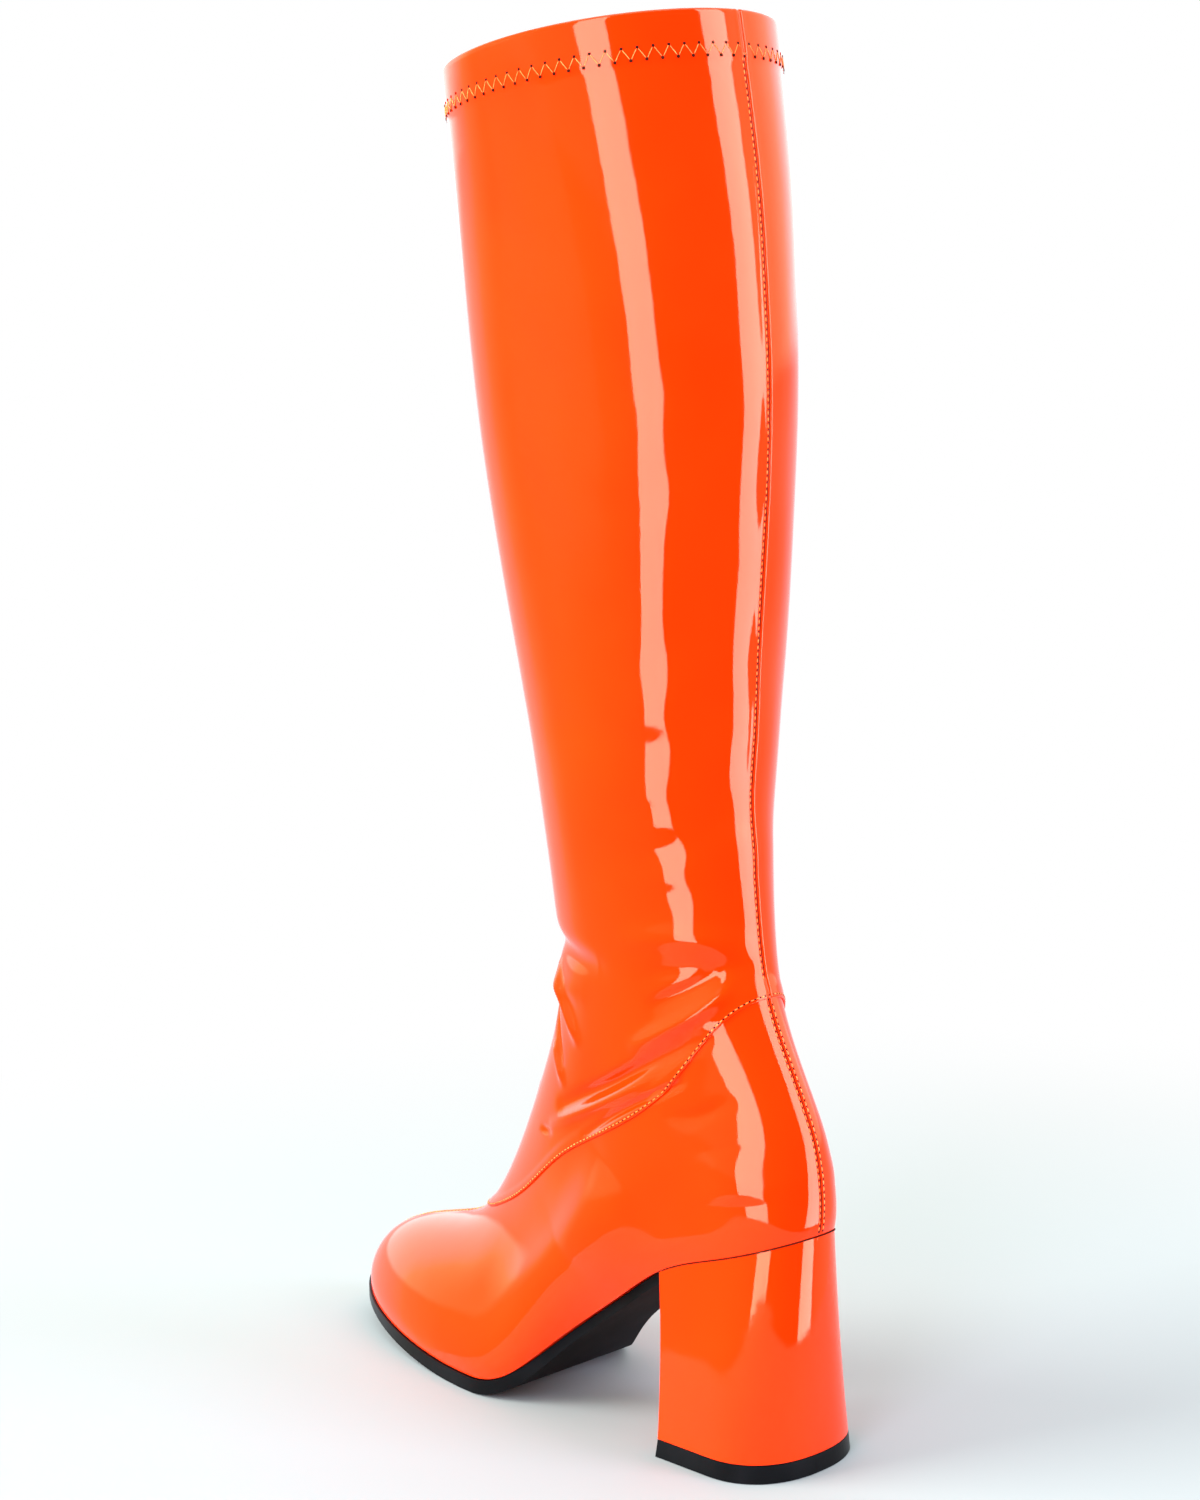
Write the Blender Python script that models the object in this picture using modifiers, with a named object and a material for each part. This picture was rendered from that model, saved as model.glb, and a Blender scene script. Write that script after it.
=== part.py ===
"""Knee-high go-go boot for the left foot, on a covered block heel.

The toe points along -Y, the outer side of the foot along +X and the shaft along +Z.
The origin is on the floor, at the centre of the heel's footprint. Lengths are in metres.

The upper is a family of closed loops. Each loop runs from a point on the back line to a
point on the front line: the lowest one is the feather line, which follows the sole, and
the highest one is the topline. A table row says where a loop starts and ends and how
full it is. An angle u runs round each loop: 0 is the back, half a turn is the front, and
the outer side comes first. A level v runs up the loops, one unit for each table row.
"""

import math
from collections import namedtuple

import bmesh
import bpy
import numpy as np

# Driving sizes
FOOT_LENGTH = 0.2365
BALL_WIDTH = 0.078
SEAT_WIDTH = 0.055
SEAT_HEIGHT = 0.0815
TREAD_THICKNESS = 0.0055
TOE_SPRING = 0.0085
SPRING_CURVE = 1.5
ANKLE_RISE = 0.1115
ANKLE_SET = 0.028
ANKLE_DEPTH = 0.086
ANKLE_WIDTH = 0.058
SHAFT_RISE = 0.285
COLLAR_DEPTH = 0.116
COLLAR_WIDTH = 0.106
FRONT_DROP = 0.0175
TOE_INSET = 0.0125
BALL_SKEW = 0.006

# Thicknesses and clearances
WALL = 0.0015
GAP = 0.0003
MARGIN = 0.009
SEAM_STEP = 0.0004
SEAM_LIP = 0.0012
HEM_HEIGHT = 0.010
HEM_STEP = 0.0004
INSOLE_THICKNESS = 0.0025
INSOLE_GAP = 0.00045
INSOLE_CLEARANCE = 0.0008

# Sole and heel
SHANK_THICKNESS = 0.0035
TOE_THICKNESS = 0.0042
SOLE_EDGE = 0.0008
WAIST_TUCK_OUTER = 0.0025
WAIST_TUCK_INNER = 0.0080
TUCK_REACH = 0.20
HEEL_LENGTH = 0.0485
HEEL_WIDTH = 0.060
HEEL_ROUND = 0.025
HEEL_SQUARENESS = 2.3
HEEL_FLARE = 0.001
HEEL_HOLLOW = 0.0005
BREAST_REACH = 0.21
TOP_PIECE_THICKNESS = 0.0060
TOP_PIECE_DRAFT = 0.0006

# Mesh density
COLUMNS = 60
CROWDING = 0.22
FOOT_LEVELS = 15
SHAFT_LEVELS = 16
ACROSS = 8
HEEL_LEVELS = 6
TIP_ANGLE = 0.05
ANGLE_SAMPLES = 800
SHARP_ANGLE = math.radians(40)

# The y of the feather line's back, where the heel has still to flare to its footprint
HEEL_BACK = HEEL_LENGTH / 2 - HEEL_FLARE

# Height of the feather line behind the tread, as a share of the climb to the seat.
# Reach is the share of the foot's length from the back of the heel towards the toe.
ProfileRow = namedtuple("ProfileRow", "reach rise")
PROFILE = (
    ProfileRow(0.000, 1.000),
    ProfileRow(0.098, 0.893),
    ProfileRow(0.210, 0.765),
    ProfileRow(0.287, 0.600),
    ProfileRow(0.356, 0.445),
    ProfileRow(0.427, 0.268),
    ProfileRow(0.485, 0.110),
    ProfileRow(0.515, 0.048),
    ProfileRow(0.545, 0.013),
    ProfileRow(0.580, 0.000),
)
TREAD_END = 0.640

# Loops of the foot, from the feather line to just below the ankle. Front_reach is a share
# of the way from the ankle's front to the toe, back_reach of the way from the back of the
# heel to the ankle's back, front_rise and back_rise of the climbs from the feather line to
# the ankle. Rear and fore are half widths, and dip is what the waist loses, as shares of
# the foot's width there. Follow is how much of the sole's profile the loop repeats, and
# inset how far its front leans to the inner side. Square_back blunts its back end.
FootRow = namedtuple(
    "FootRow",
    "front_reach front_rise back_reach back_rise rear dip fore follow inset square_back",
)
FOOT = (
    FootRow(1.000, 0.000, 0.000, 0.000, 0.525, 0.065, 0.490, 1.00, 1.00, 0.060),
    FootRow(0.994, 0.032, -0.025, 0.035, 0.545, 0.045, 0.505, 1.00, 1.00, 0.055),
    FootRow(0.967, 0.071, -0.034, 0.070, 0.560, 0.020, 0.505, 0.97, 0.98, 0.050),
    FootRow(0.913, 0.113, -0.034, 0.105, 0.565, 0.000, 0.495, 0.93, 0.95, 0.045),
    FootRow(0.824, 0.151, -0.025, 0.142, 0.565, -0.010, 0.475, 0.87, 0.91, 0.040),
    FootRow(0.706, 0.181, -0.010, 0.182, 0.560, -0.015, 0.450, 0.79, 0.86, 0.035),
    FootRow(0.576, 0.208, 0.025, 0.228, 0.555, -0.015, 0.420, 0.70, 0.79, 0.025),
    FootRow(0.445, 0.253, 0.085, 0.285, 0.545, -0.010, 0.395, 0.58, 0.71, 0.015),
    FootRow(0.325, 0.350, 0.210, 0.362, 0.520, -0.005, 0.380, 0.44, 0.59, 0.008),
    FootRow(0.215, 0.485, 0.430, 0.475, 0.495, 0.000, 0.385, 0.30, 0.45, 0.000),
    FootRow(0.098, 0.650, 0.700, 0.615, 0.475, 0.000, 0.405, 0.17, 0.28, 0.000),
    FootRow(0.012, 0.825, 0.900, 0.785, 0.475, 0.000, 0.435, 0.07, 0.13, 0.000),
)
# Where the waist lies along a loop, how long it is, and where the forepart's width begins
WAIST_PLACE = 0.38
WAIST_SPREAD = 0.11
FORE_START = 0.36
FORE_END = 0.64

# Loops of the shaft, from the ankle to the topline. Rise is a share of the shaft's rise.
# Back is how far the back line lies behind the ankle's, as a share of the collar's depth.
# Depth and width say how far the loop has grown from the ankle's size to the collar's.
ShaftRow = namedtuple("ShaftRow", "rise back depth width")
SHAFT = (
    ShaftRow(0.000, 0.000, 0.00, 0.00),
    ShaftRow(0.077, -0.013, 0.01, 0.13),
    ShaftRow(0.165, -0.009, 0.11, 0.28),
    ShaftRow(0.270, 0.009, 0.35, 0.43),
    ShaftRow(0.410, 0.034, 0.75, 0.55),
    ShaftRow(0.550, 0.050, 1.08, 0.65),
    ShaftRow(0.690, 0.040, 1.20, 0.76),
    ShaftRow(0.835, 0.004, 1.15, 0.89),
    ShaftRow(1.000, -0.065, 1.00, 1.00),
)
TOPLINE = len(FOOT) + len(SHAFT) - 1

# Level of the seam between foot and shaft, by share of the way from back to front
SeamRow = namedtuple("SeamRow", "share level")
SEAM = (
    SeamRow(0.00, 10.45),
    SeamRow(0.14, 10.32),
    SeamRow(0.27, 9.72),
    SeamRow(0.37, 8.95),
    SeamRow(0.50, 8.52),
    SeamRow(0.63, 8.28),
    SeamRow(0.73, 7.80),
    SeamRow(0.82, 7.34),
    SeamRow(0.93, 7.13),
    SeamRow(1.00, 7.10),
)

Loop = namedtuple(
    "Loop",
    "front_y front_z back_y back_z rear dip fore follow inset square_back",
)


def spline(knots, values, at, start_slope=None):
    """Smooth curve through the values, with natural ends unless a start slope is given."""
    knots = np.asarray(knots, float)
    values = np.asarray(values, float)
    count = len(knots)
    step = np.diff(knots)
    system = np.eye(count)
    target = np.zeros_like(values)
    for i in range(1, count - 1):
        system[i, i - 1] = step[i - 1]
        system[i, i] = 2 * (step[i - 1] + step[i])
        system[i, i + 1] = step[i]
        after = (values[i + 1] - values[i]) / step[i]
        before = (values[i] - values[i - 1]) / step[i - 1]
        target[i] = 6 * (after - before)
    if start_slope is not None:
        system[0, 0] = 2 * step[0]
        system[0, 1] = step[0]
        target[0] = 6 * ((values[1] - values[0]) / step[0] - start_slope)
    bend = np.linalg.solve(system, target)
    at = np.asarray(at, float)
    k = np.clip(np.searchsorted(knots, at, side="right") - 1, 0, count - 2)
    width = step[k]
    low = (knots[k + 1] - at) / width
    high = (at - knots[k]) / width
    if values.ndim > 1:
        width, low, high = width[..., None], low[..., None], high[..., None]
    line = low * values[k] + high * values[k + 1]
    curve = (low**3 - low) * bend[k] + (high**3 - high) * bend[k + 1]
    return line + curve * width**2 / 6


def reach_of(y):
    """Share of the foot's length from the back of the heel towards the toe."""
    return (HEEL_BACK - np.asarray(y, float)) / FOOT_LENGTH


def place_of(reach):
    """The y of a reach."""
    return HEEL_BACK - np.asarray(reach, float) * FOOT_LENGTH


def profile(y):
    """Height of the feather line above the floor."""
    reach = reach_of(y)
    rows = PROFILE[::-1]
    climb = spline(
        [-row.reach for row in rows],
        [row.rise for row in rows],
        -np.minimum(reach, rows[0].reach),
        start_slope=0.0,
    )
    spring = np.clip((reach - TREAD_END) / (1 - TREAD_END), 0, None) ** SPRING_CURVE
    return TREAD_THICKNESS + (SEAT_HEIGHT - TREAD_THICKNESS) * climb + TOE_SPRING * spring


def mix(low, high, share):
    """Straight blend from low to high."""
    return low + (high - low) * share


def foot_loop(row):
    """Sizes of a loop of the foot."""
    toe_y = HEEL_BACK - FOOT_LENGTH
    toe_z = float(profile(toe_y))
    ankle_back = HEEL_BACK - ANKLE_SET
    ankle_z = SEAT_HEIGHT + ANKLE_RISE
    seat = mix(SEAT_WIDTH, ANKLE_WIDTH, row.back_rise)
    ball = mix(BALL_WIDTH, ANKLE_WIDTH, row.back_rise)
    return Loop(
        mix(ankle_back - ANKLE_DEPTH, toe_y, row.front_reach),
        mix(toe_z, ankle_z - FRONT_DROP, row.front_rise),
        mix(HEEL_BACK, ankle_back, row.back_reach),
        mix(SEAT_HEIGHT, ankle_z, row.back_rise),
        seat * row.rear,
        seat * row.dip,
        ball * row.fore,
        row.follow,
        row.inset * TOE_INSET,
        row.square_back,
    )


def shaft_loop(row):
    """Sizes of a loop of the shaft."""
    back_y = HEEL_BACK - ANKLE_SET + row.back * COLLAR_DEPTH
    back_z = SEAT_HEIGHT + ANKLE_RISE + SHAFT_RISE * row.rise
    depth = mix(ANKLE_DEPTH, COLLAR_DEPTH, row.depth)
    half = mix(ANKLE_WIDTH, COLLAR_WIDTH, row.width) / 2
    return Loop(back_y - depth, back_z - FRONT_DROP, back_y, back_z, half, 0, half, 0, 0, 0)


LOOPS = np.array([foot_loop(row) for row in FOOT] + [shaft_loop(row) for row in SHAFT])


def fullness(loop, s):
    """Half width of a loop at share s of its length, before its ends are rounded."""
    forward = np.clip((s - FORE_START) / (FORE_END - FORE_START), 0, 1)
    forward = forward**3 * (10 - 15 * forward + 6 * forward**2)
    waist = np.exp(-(((s - WAIST_PLACE) / WAIST_SPREAD) ** 2))
    return mix(loop.rear, loop.fore, forward) - loop.dip * waist


def surface(u, v):
    """Outer face of the upper at angle u and level v, as an array of points."""
    u, v = np.broadcast_arrays(np.asarray(u, float), np.asarray(v, float))
    loop = Loop(*np.moveaxis(spline(np.arange(len(LOOPS)), LOOPS, v), -1, 0))
    turn = np.cos(u)
    square = loop.square_back * (1 + turn) / 2
    along = (turn - square * np.cos(3 * u)) / (1 - square)
    aside = (np.sin(u) + square * np.sin(3 * u)) / (1 - square)
    s = (1 - along) / 2
    y = mix(loop.back_y, loop.front_y, s)
    y = y + BALL_SKEW * loop.follow * aside * np.sin(math.pi * s) ** 2
    x = aside * fullness(loop, s) - loop.inset * s**2
    share = (loop.back_y - y) / (loop.back_y - loop.front_y)
    sag = profile(y) - mix(profile(loop.back_y), profile(loop.front_y), share)
    z = mix(loop.back_z, loop.front_z, share) + loop.follow * sag
    return np.stack([x, y, z], axis=-1)


def outward(u, v):
    """Unit normal of the upper's outer face."""
    step = 1e-4
    along = surface(np.add(u, step), v) - surface(np.subtract(u, step), v)
    up = surface(u, np.add(v, step)) - surface(u, np.subtract(v, step))
    normal = np.cross(up, along)
    return normal / np.linalg.norm(normal, axis=-1, keepdims=True)


def breast_angle(side):
    """Angle of the feather line at the heel's breast, on the outer (1) or inner (-1) side."""
    fine = side * np.linspace(0, math.pi / 2, ANGLE_SAMPLES)
    return float(np.interp(BREAST_REACH, reach_of(feather(fine)[:, 1]), fine))


def columns():
    """Angles round a loop, closer along the sides, with one on each side at the breast."""
    even = np.arange(COLUMNS) * 2 * math.pi / COLUMNS
    u = even + CROWDING * np.sin(2 * even)
    for breast in (breast_angle(1), breast_angle(-1) + 2 * math.pi):
        u[np.argmin(abs(u - breast))] = breast
    return u


def seam_level(u):
    """Level of the seam that joins the shaft to the foot."""
    share = np.arccos(np.cos(u)) / math.pi
    return spline([row.share for row in SEAM], [row.level for row in SEAM], share, start_slope=0.0)


def lift(level, u, height):
    """Level a given height above another one, or below it, measured along the wall."""
    step = 0.05
    rise = np.linalg.norm(surface(u, level + step) - surface(u, level - step), axis=-1)
    return level + height * 2 * step / rise


def new_object(name, mesh, material, collection):
    mesh.materials.append(material)
    mesh.shade_smooth()
    mesh.set_sharp_from_angle(angle=SHARP_ANGLE)
    made = bpy.data.objects.new(name, mesh)
    collection.objects.link(made)
    return made


def to_mesh(name, shape):
    mesh = bpy.data.meshes.new(name)
    shape.to_mesh(mesh)
    shape.free()
    return mesh


def loft(rings):
    """Open wall between closed rings that have the same number of points."""
    shape = bmesh.new()
    rows = [[shape.verts.new(point) for point in ring] for ring in rings]
    for lower, upper in zip(rows, rows[1:]):
        for i in range(len(lower)):
            j = (i + 1) % len(lower)
            shape.faces.new((lower[i], upper[i], upper[j], lower[j]))
    return shape, rows


def solid_loft(name, rings):
    """Closed loft of rings whose first and last points are mirror images.

    Each end is filled by strips between the ring's two mirrored halves.
    """
    shape, rows = loft(rings)
    last = len(rows[0]) - 1
    for row in (rows[0], rows[-1]):
        for i in range(last // 2 - 1):
            shape.faces.new((row[i], row[i + 1], row[last - i - 1], row[last - i]))
        middle = last // 2
        shape.faces.new((row[middle - 1], row[middle], row[middle + 1]))
    bmesh.ops.recalc_face_normals(shape, faces=shape.faces)
    return to_mesh(name, shape)


def plate(name, outer_edge, inner_edge, underside, top):
    """Closed plate between two long edges, with one point of each at every station.

    Underside and top are functions that lay points of the plan on the two faces.
    """
    share = np.linspace(0, 1, ACROSS + 1)[None, :, None]
    flat = mix(outer_edge[:, None, :], inner_edge[:, None, :], share)
    shape = bmesh.new()
    lower = [[shape.verts.new(point) for point in row] for row in underside(flat)]
    upper = [[shape.verts.new(point) for point in row] for row in top(flat)]
    rows = len(lower)
    for i in range(rows - 1):
        for j in range(ACROSS):
            for sheet in (lower, upper):
                near, far = sheet[i], sheet[i + 1]
                shape.faces.new((near[j], near[j + 1], far[j + 1], far[j]))
    ring = [(i, 0) for i in range(rows)]
    ring += [(rows - 1, j) for j in range(1, ACROSS + 1)]
    ring += [(i, ACROSS) for i in range(rows - 2, -1, -1)]
    ring += [(0, j) for j in range(ACROSS - 1, 0, -1)]
    for (a, b), (c, d) in zip(ring, ring[1:] + ring[:1]):
        shape.faces.new((upper[a][b], upper[c][d], lower[c][d], lower[a][b]))
    bmesh.ops.recalc_face_normals(shape, faces=shape.faces)
    return to_mesh(name, shape)


def feather(u):
    """Plan of the feather line."""
    return surface(u, 0.0)[..., :2]


def offset_feather(u, distance):
    """Feather line moved out by a distance, in plan."""
    u = np.asarray(u, float)
    step = 1e-3
    along = feather(u + step) - feather(u - step)
    outward_plan = np.stack([-along[..., 1], along[..., 0]], axis=-1)
    outward_plan /= np.linalg.norm(outward_plan, axis=-1, keepdims=True)
    return feather(u) + outward_plan * np.broadcast_to(distance, u.shape)[..., None]


def on_profile(flat, rise):
    """Points of a plan laid on the sole's profile, a given distance square above it."""
    y = flat[..., 1:2]
    step = 1e-4
    slope = (profile(y + step) - profile(y - step)) / (2 * step)
    return np.concatenate([flat, profile(y) + rise * np.sqrt(1 + slope**2)], axis=-1)


def make_upper(material, collection):
    u = columns()
    rings = [
        on_profile(offset_feather(u, -MARGIN), 0.0),
        on_profile(offset_feather(u, -MARGIN / 2), 0.0),
    ]
    seam = seam_level(u)
    below = lift(seam, u, -SEAM_LIP)
    for share in np.linspace(0, 1, FOOT_LEVELS + 1):
        rings.append(surface(u, below * share))
    top = np.full_like(u, TOPLINE)
    hem = lift(top, u, -HEM_HEIGHT)
    under_hem = lift(hem, u, -SEAM_LIP)
    for share in np.linspace(0, 1, SHAFT_LEVELS + 1):
        level = mix(seam, under_hem, share)
        rings.append(surface(u, level) + outward(u, level) * SEAM_STEP)
    for level in (hem, mix(hem, top, 0.5), top):
        rings.append(surface(u, level) + outward(u, level) * (SEAM_STEP + HEM_STEP))
    shape, _ = loft(rings)
    boot = new_object("upper", to_mesh("upper", shape), material, collection)
    wall = boot.modifiers.new("wall", "SOLIDIFY")
    wall.thickness = WALL
    wall.offset = -1
    wall.use_even_offset = True
    return boot


def stations(first, side):
    """Angles of one side, from a first one to one close to the tip of the toe."""
    start = side * first
    end = math.pi - TIP_ANGLE
    u = side * columns() % (2 * math.pi)
    inside = np.sort(u[(u > start + TIP_ANGLE) & (u < end - TIP_ANGLE)])
    return side * np.concatenate([[start], inside, [end]])


def make_insole(material, collection):
    inset = -(WALL + INSOLE_CLEARANCE)
    low = WALL + INSOLE_GAP
    mesh = plate(
        "insole",
        offset_feather(stations(TIP_ANGLE, 1), inset),
        offset_feather(stations(-TIP_ANGLE, -1), inset),
        lambda flat: on_profile(flat, low),
        lambda flat: on_profile(flat, low + INSOLE_THICKNESS),
    )
    return new_object("insole", mesh, material, collection)


def ease(share):
    """Smooth step from 0 to 1."""
    share = np.clip(share, 0, 1)
    return share**2 * (3 - 2 * share)


def waist_share(reach, length):
    """0 under the tread, and 1 from a length behind it."""
    return ease((PROFILE[-1].reach - reach) / length)


def sole_edge(u, tuck):
    """Distance of the sole's edge outside the feather line, tucked in at the waist."""
    return mix(SOLE_EDGE, -tuck, waist_share(reach_of(feather(u)[:, 1]), TUCK_REACH))


def make_outsole(material, collection):
    outer = stations(breast_angle(1), 1)
    inner = stations(breast_angle(-1), -1)
    outer_edge = offset_feather(outer, sole_edge(outer, WAIST_TUCK_OUTER))
    inner_edge = offset_feather(inner, sole_edge(inner, WAIST_TUCK_INNER))
    outer_edge[0, 1] = inner_edge[0, 1] = float(place_of(BREAST_REACH)) - GAP

    def underside(flat):
        reach = reach_of(flat[..., 1:2])
        thickness = mix(TREAD_THICKNESS, SHANK_THICKNESS, waist_share(reach, TUCK_REACH))
        toe = ease((reach - TREAD_END) / (1 - TREAD_END))
        return on_profile(flat, mix(-thickness, -TOE_THICKNESS, toe))

    mesh = plate("outsole", outer_edge, inner_edge, underside, lambda flat: on_profile(flat, -GAP))
    return new_object("outsole", mesh, material, collection)


def heel_outline():
    """Plan of the heel's top: the feather line round the back, open at the breast."""
    u = np.sort((columns() + math.pi) % (2 * math.pi) - math.pi)
    slack = 0.001
    return feather(u[(u > breast_angle(-1) - slack) & (u < breast_angle(1) + slack)])


def footprint(outline, edge):
    """D-shaped plan on the floor, with straight sides and a rounded back."""
    share = (outline[:, 1] - outline[0, 1]) / (HEEL_BACK - outline[0, 1])
    straight = 1 - HEEL_ROUND / HEEL_LENGTH
    turn = np.clip((share - straight) / (1 - straight), 0, 1)
    half = (1 - turn**HEEL_SQUARENESS) ** (1 / HEEL_SQUARENESS)
    x = np.sign(outline[:, 0]) * half * (HEEL_WIDTH / 2 + edge)
    y = (share - 0.5) * (HEEL_LENGTH + 2 * edge)
    return np.stack([x, y], axis=-1)


def make_heel_block(material, collection):
    outline = heel_outline()
    top = on_profile(outline, -GAP)
    bottom = np.full_like(top, TOP_PIECE_THICKNESS + GAP)
    bottom[:, :2] = footprint(outline, -TOP_PIECE_DRAFT)
    rings = []
    for share in np.linspace(0, 1, HEEL_LEVELS + 1):
        ring = mix(bottom, top, share)
        hollow = 4 * share * (1 - share) * HEEL_HOLLOW
        ring[:, :2] *= 1 - hollow / (HEEL_WIDTH / 2)
        rings.append(ring)
    return new_object("heel_block", solid_loft("heel_block", rings), material, collection)


def make_top_piece(material, collection):
    outline = heel_outline()
    rings = []
    for share, edge in ((0.0, 0.0), (1.0, -TOP_PIECE_DRAFT)):
        plan = footprint(outline, edge)
        height = np.full((len(plan), 1), share * TOP_PIECE_THICKNESS)
        rings.append(np.concatenate([plan, height], axis=1))
    return new_object("top_piece", solid_loft("top_piece", rings), material, collection)


def make_material(name, colour, roughness, coat=0.0):
    material = bpy.data.materials.new(name)
    material.use_nodes = True
    shader = material.node_tree.nodes["Principled BSDF"]
    shader.inputs["Base Color"].default_value = (*colour, 1.0)
    shader.inputs["Roughness"].default_value = roughness
    shader.inputs["Metallic"].default_value = 0.0
    shader.inputs["Coat Weight"].default_value = coat
    return material


def main():
    for leftover in list(bpy.data.objects):
        bpy.data.objects.remove(leftover)
    collection = bpy.data.collections.new("go_go_boot")
    bpy.context.scene.collection.children.link(collection)
    patent = make_material("orange patent", (1.0, 0.10, 0.005), 0.25, coat=1.0)
    board = make_material("insole board", (0.55, 0.38, 0.22), 0.80)
    rubber = make_material("black sole", (0.012, 0.012, 0.013), 0.35)
    make_upper(patent, collection)
    make_insole(board, collection)
    make_outsole(rubber, collection)
    make_heel_block(patent, collection)
    make_top_piece(rubber, collection)


main()
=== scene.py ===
"""Looks of the knee-high go-go boot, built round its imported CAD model.

The shape of the upper, sole and heel repeats the sizes and tables of the part's source.
Lengths are in metres, in the CAD's frame: the toe points along -Y and the outer side is +X.
"""

import math
from collections import namedtuple

import bmesh
import bpy
import numpy as np
from mathutils import Matrix, Vector


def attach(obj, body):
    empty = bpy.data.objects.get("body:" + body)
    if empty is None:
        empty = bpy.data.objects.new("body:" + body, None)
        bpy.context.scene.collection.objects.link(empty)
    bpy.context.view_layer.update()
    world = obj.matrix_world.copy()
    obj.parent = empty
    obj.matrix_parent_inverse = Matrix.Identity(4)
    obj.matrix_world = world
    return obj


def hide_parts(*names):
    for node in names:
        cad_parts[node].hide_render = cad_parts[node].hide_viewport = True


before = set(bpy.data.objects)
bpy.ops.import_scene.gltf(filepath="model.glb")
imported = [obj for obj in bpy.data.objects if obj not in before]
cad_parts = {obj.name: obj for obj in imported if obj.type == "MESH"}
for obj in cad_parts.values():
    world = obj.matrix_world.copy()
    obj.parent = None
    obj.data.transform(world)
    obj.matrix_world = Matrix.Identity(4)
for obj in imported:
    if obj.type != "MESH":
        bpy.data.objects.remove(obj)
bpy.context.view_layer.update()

# Driving sizes
FOOT_LENGTH = 0.2365
BALL_WIDTH = 0.078
SEAT_WIDTH = 0.055
SEAT_HEIGHT = 0.0815
TREAD_THICKNESS = 0.0055
TOE_SPRING = 0.0085
SPRING_CURVE = 1.5
ANKLE_RISE = 0.1115
ANKLE_SET = 0.028
ANKLE_DEPTH = 0.086
ANKLE_WIDTH = 0.058
SHAFT_RISE = 0.285
COLLAR_DEPTH = 0.116
COLLAR_WIDTH = 0.106
FRONT_DROP = 0.0175
TOE_INSET = 0.0125
BALL_SKEW = 0.006

# Thicknesses and clearances
WALL = 0.0015
GAP = 0.0003
MARGIN = 0.009
SEAM_STEP = 0.0004
HEM_STEP = 0.0004
INSOLE_THICKNESS = 0.0025
INSOLE_GAP = 0.00045
INSOLE_CLEARANCE = 0.0008

# Sole and heel
SHANK_THICKNESS = 0.0035
TOE_THICKNESS = 0.0042
SOLE_EDGE = 0.0008
WAIST_TUCK_OUTER = 0.0025
WAIST_TUCK_INNER = 0.0080
TUCK_REACH = 0.20
HEEL_LENGTH = 0.0485
HEEL_WIDTH = 0.060
HEEL_ROUND = 0.025
HEEL_SQUARENESS = 2.3
HEEL_FLARE = 0.001
HEEL_HOLLOW = 0.0005
BREAST_REACH = 0.21
TOP_PIECE_THICKNESS = 0.0060
TOP_PIECE_DRAFT = 0.0006

# Density of the sole and the angles that the CAD samples
ACROSS = 28
TIP_ANGLE = 0.05
ANGLE_SAMPLES = 800

# The y of the feather line's back, where the heel has still to flare to its footprint
HEEL_BACK = HEEL_LENGTH / 2 - HEEL_FLARE

# Height of the feather line behind the tread, as (reach, share of the climb to the seat).
# Reach is the share of the foot's length from the back of the heel towards the toe.
PROFILE = (
    (0.000, 1.000), (0.098, 0.893), (0.210, 0.765), (0.287, 0.600), (0.356, 0.445),
    (0.427, 0.268), (0.485, 0.110), (0.515, 0.048), (0.545, 0.013), (0.580, 0.000),
)
TREAD_START = PROFILE[-1][0]
TREAD_END = 0.640

# Loops of the foot, from the feather line to just below the ankle. Front_reach is a share
# of the way from the ankle's front to the toe, back_reach of the way from the back of the
# heel to the ankle's back, front_rise and back_rise of the climbs from the feather line to
# the ankle. Rear and fore are half widths, and dip is what the waist loses, as shares of
# the foot's width there. Follow is how much of the sole's profile the loop repeats, and
# inset how far its front leans to the inner side. Square_back blunts its back end.
FootRow = namedtuple(
    "FootRow",
    "front_reach front_rise back_reach back_rise rear dip fore follow inset square_back",
)
FOOT = (
    FootRow(1.000, 0.000, 0.000, 0.000, 0.525, 0.065, 0.490, 1.00, 1.00, 0.060),
    FootRow(0.994, 0.032, -0.025, 0.035, 0.545, 0.045, 0.505, 1.00, 1.00, 0.055),
    FootRow(0.967, 0.071, -0.034, 0.070, 0.560, 0.020, 0.505, 0.97, 0.98, 0.050),
    FootRow(0.913, 0.113, -0.034, 0.105, 0.565, 0.000, 0.495, 0.93, 0.95, 0.045),
    FootRow(0.824, 0.151, -0.025, 0.142, 0.565, -0.010, 0.475, 0.87, 0.91, 0.040),
    FootRow(0.706, 0.181, -0.010, 0.182, 0.560, -0.015, 0.450, 0.79, 0.86, 0.035),
    FootRow(0.576, 0.208, 0.025, 0.228, 0.555, -0.015, 0.420, 0.70, 0.79, 0.025),
    FootRow(0.445, 0.253, 0.085, 0.285, 0.545, -0.010, 0.395, 0.58, 0.71, 0.015),
    FootRow(0.325, 0.350, 0.210, 0.362, 0.520, -0.005, 0.380, 0.44, 0.59, 0.008),
    FootRow(0.215, 0.485, 0.430, 0.475, 0.495, 0.000, 0.385, 0.30, 0.45, 0.000),
    FootRow(0.098, 0.650, 0.700, 0.615, 0.475, 0.000, 0.405, 0.17, 0.28, 0.000),
    FootRow(0.012, 0.825, 0.900, 0.785, 0.475, 0.000, 0.435, 0.07, 0.13, 0.000),
)
# Where the waist lies along a loop, how long it is, and where the forepart's width begins
WAIST_PLACE = 0.38
WAIST_SPREAD = 0.11
FORE_START = 0.36
FORE_END = 0.64

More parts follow.
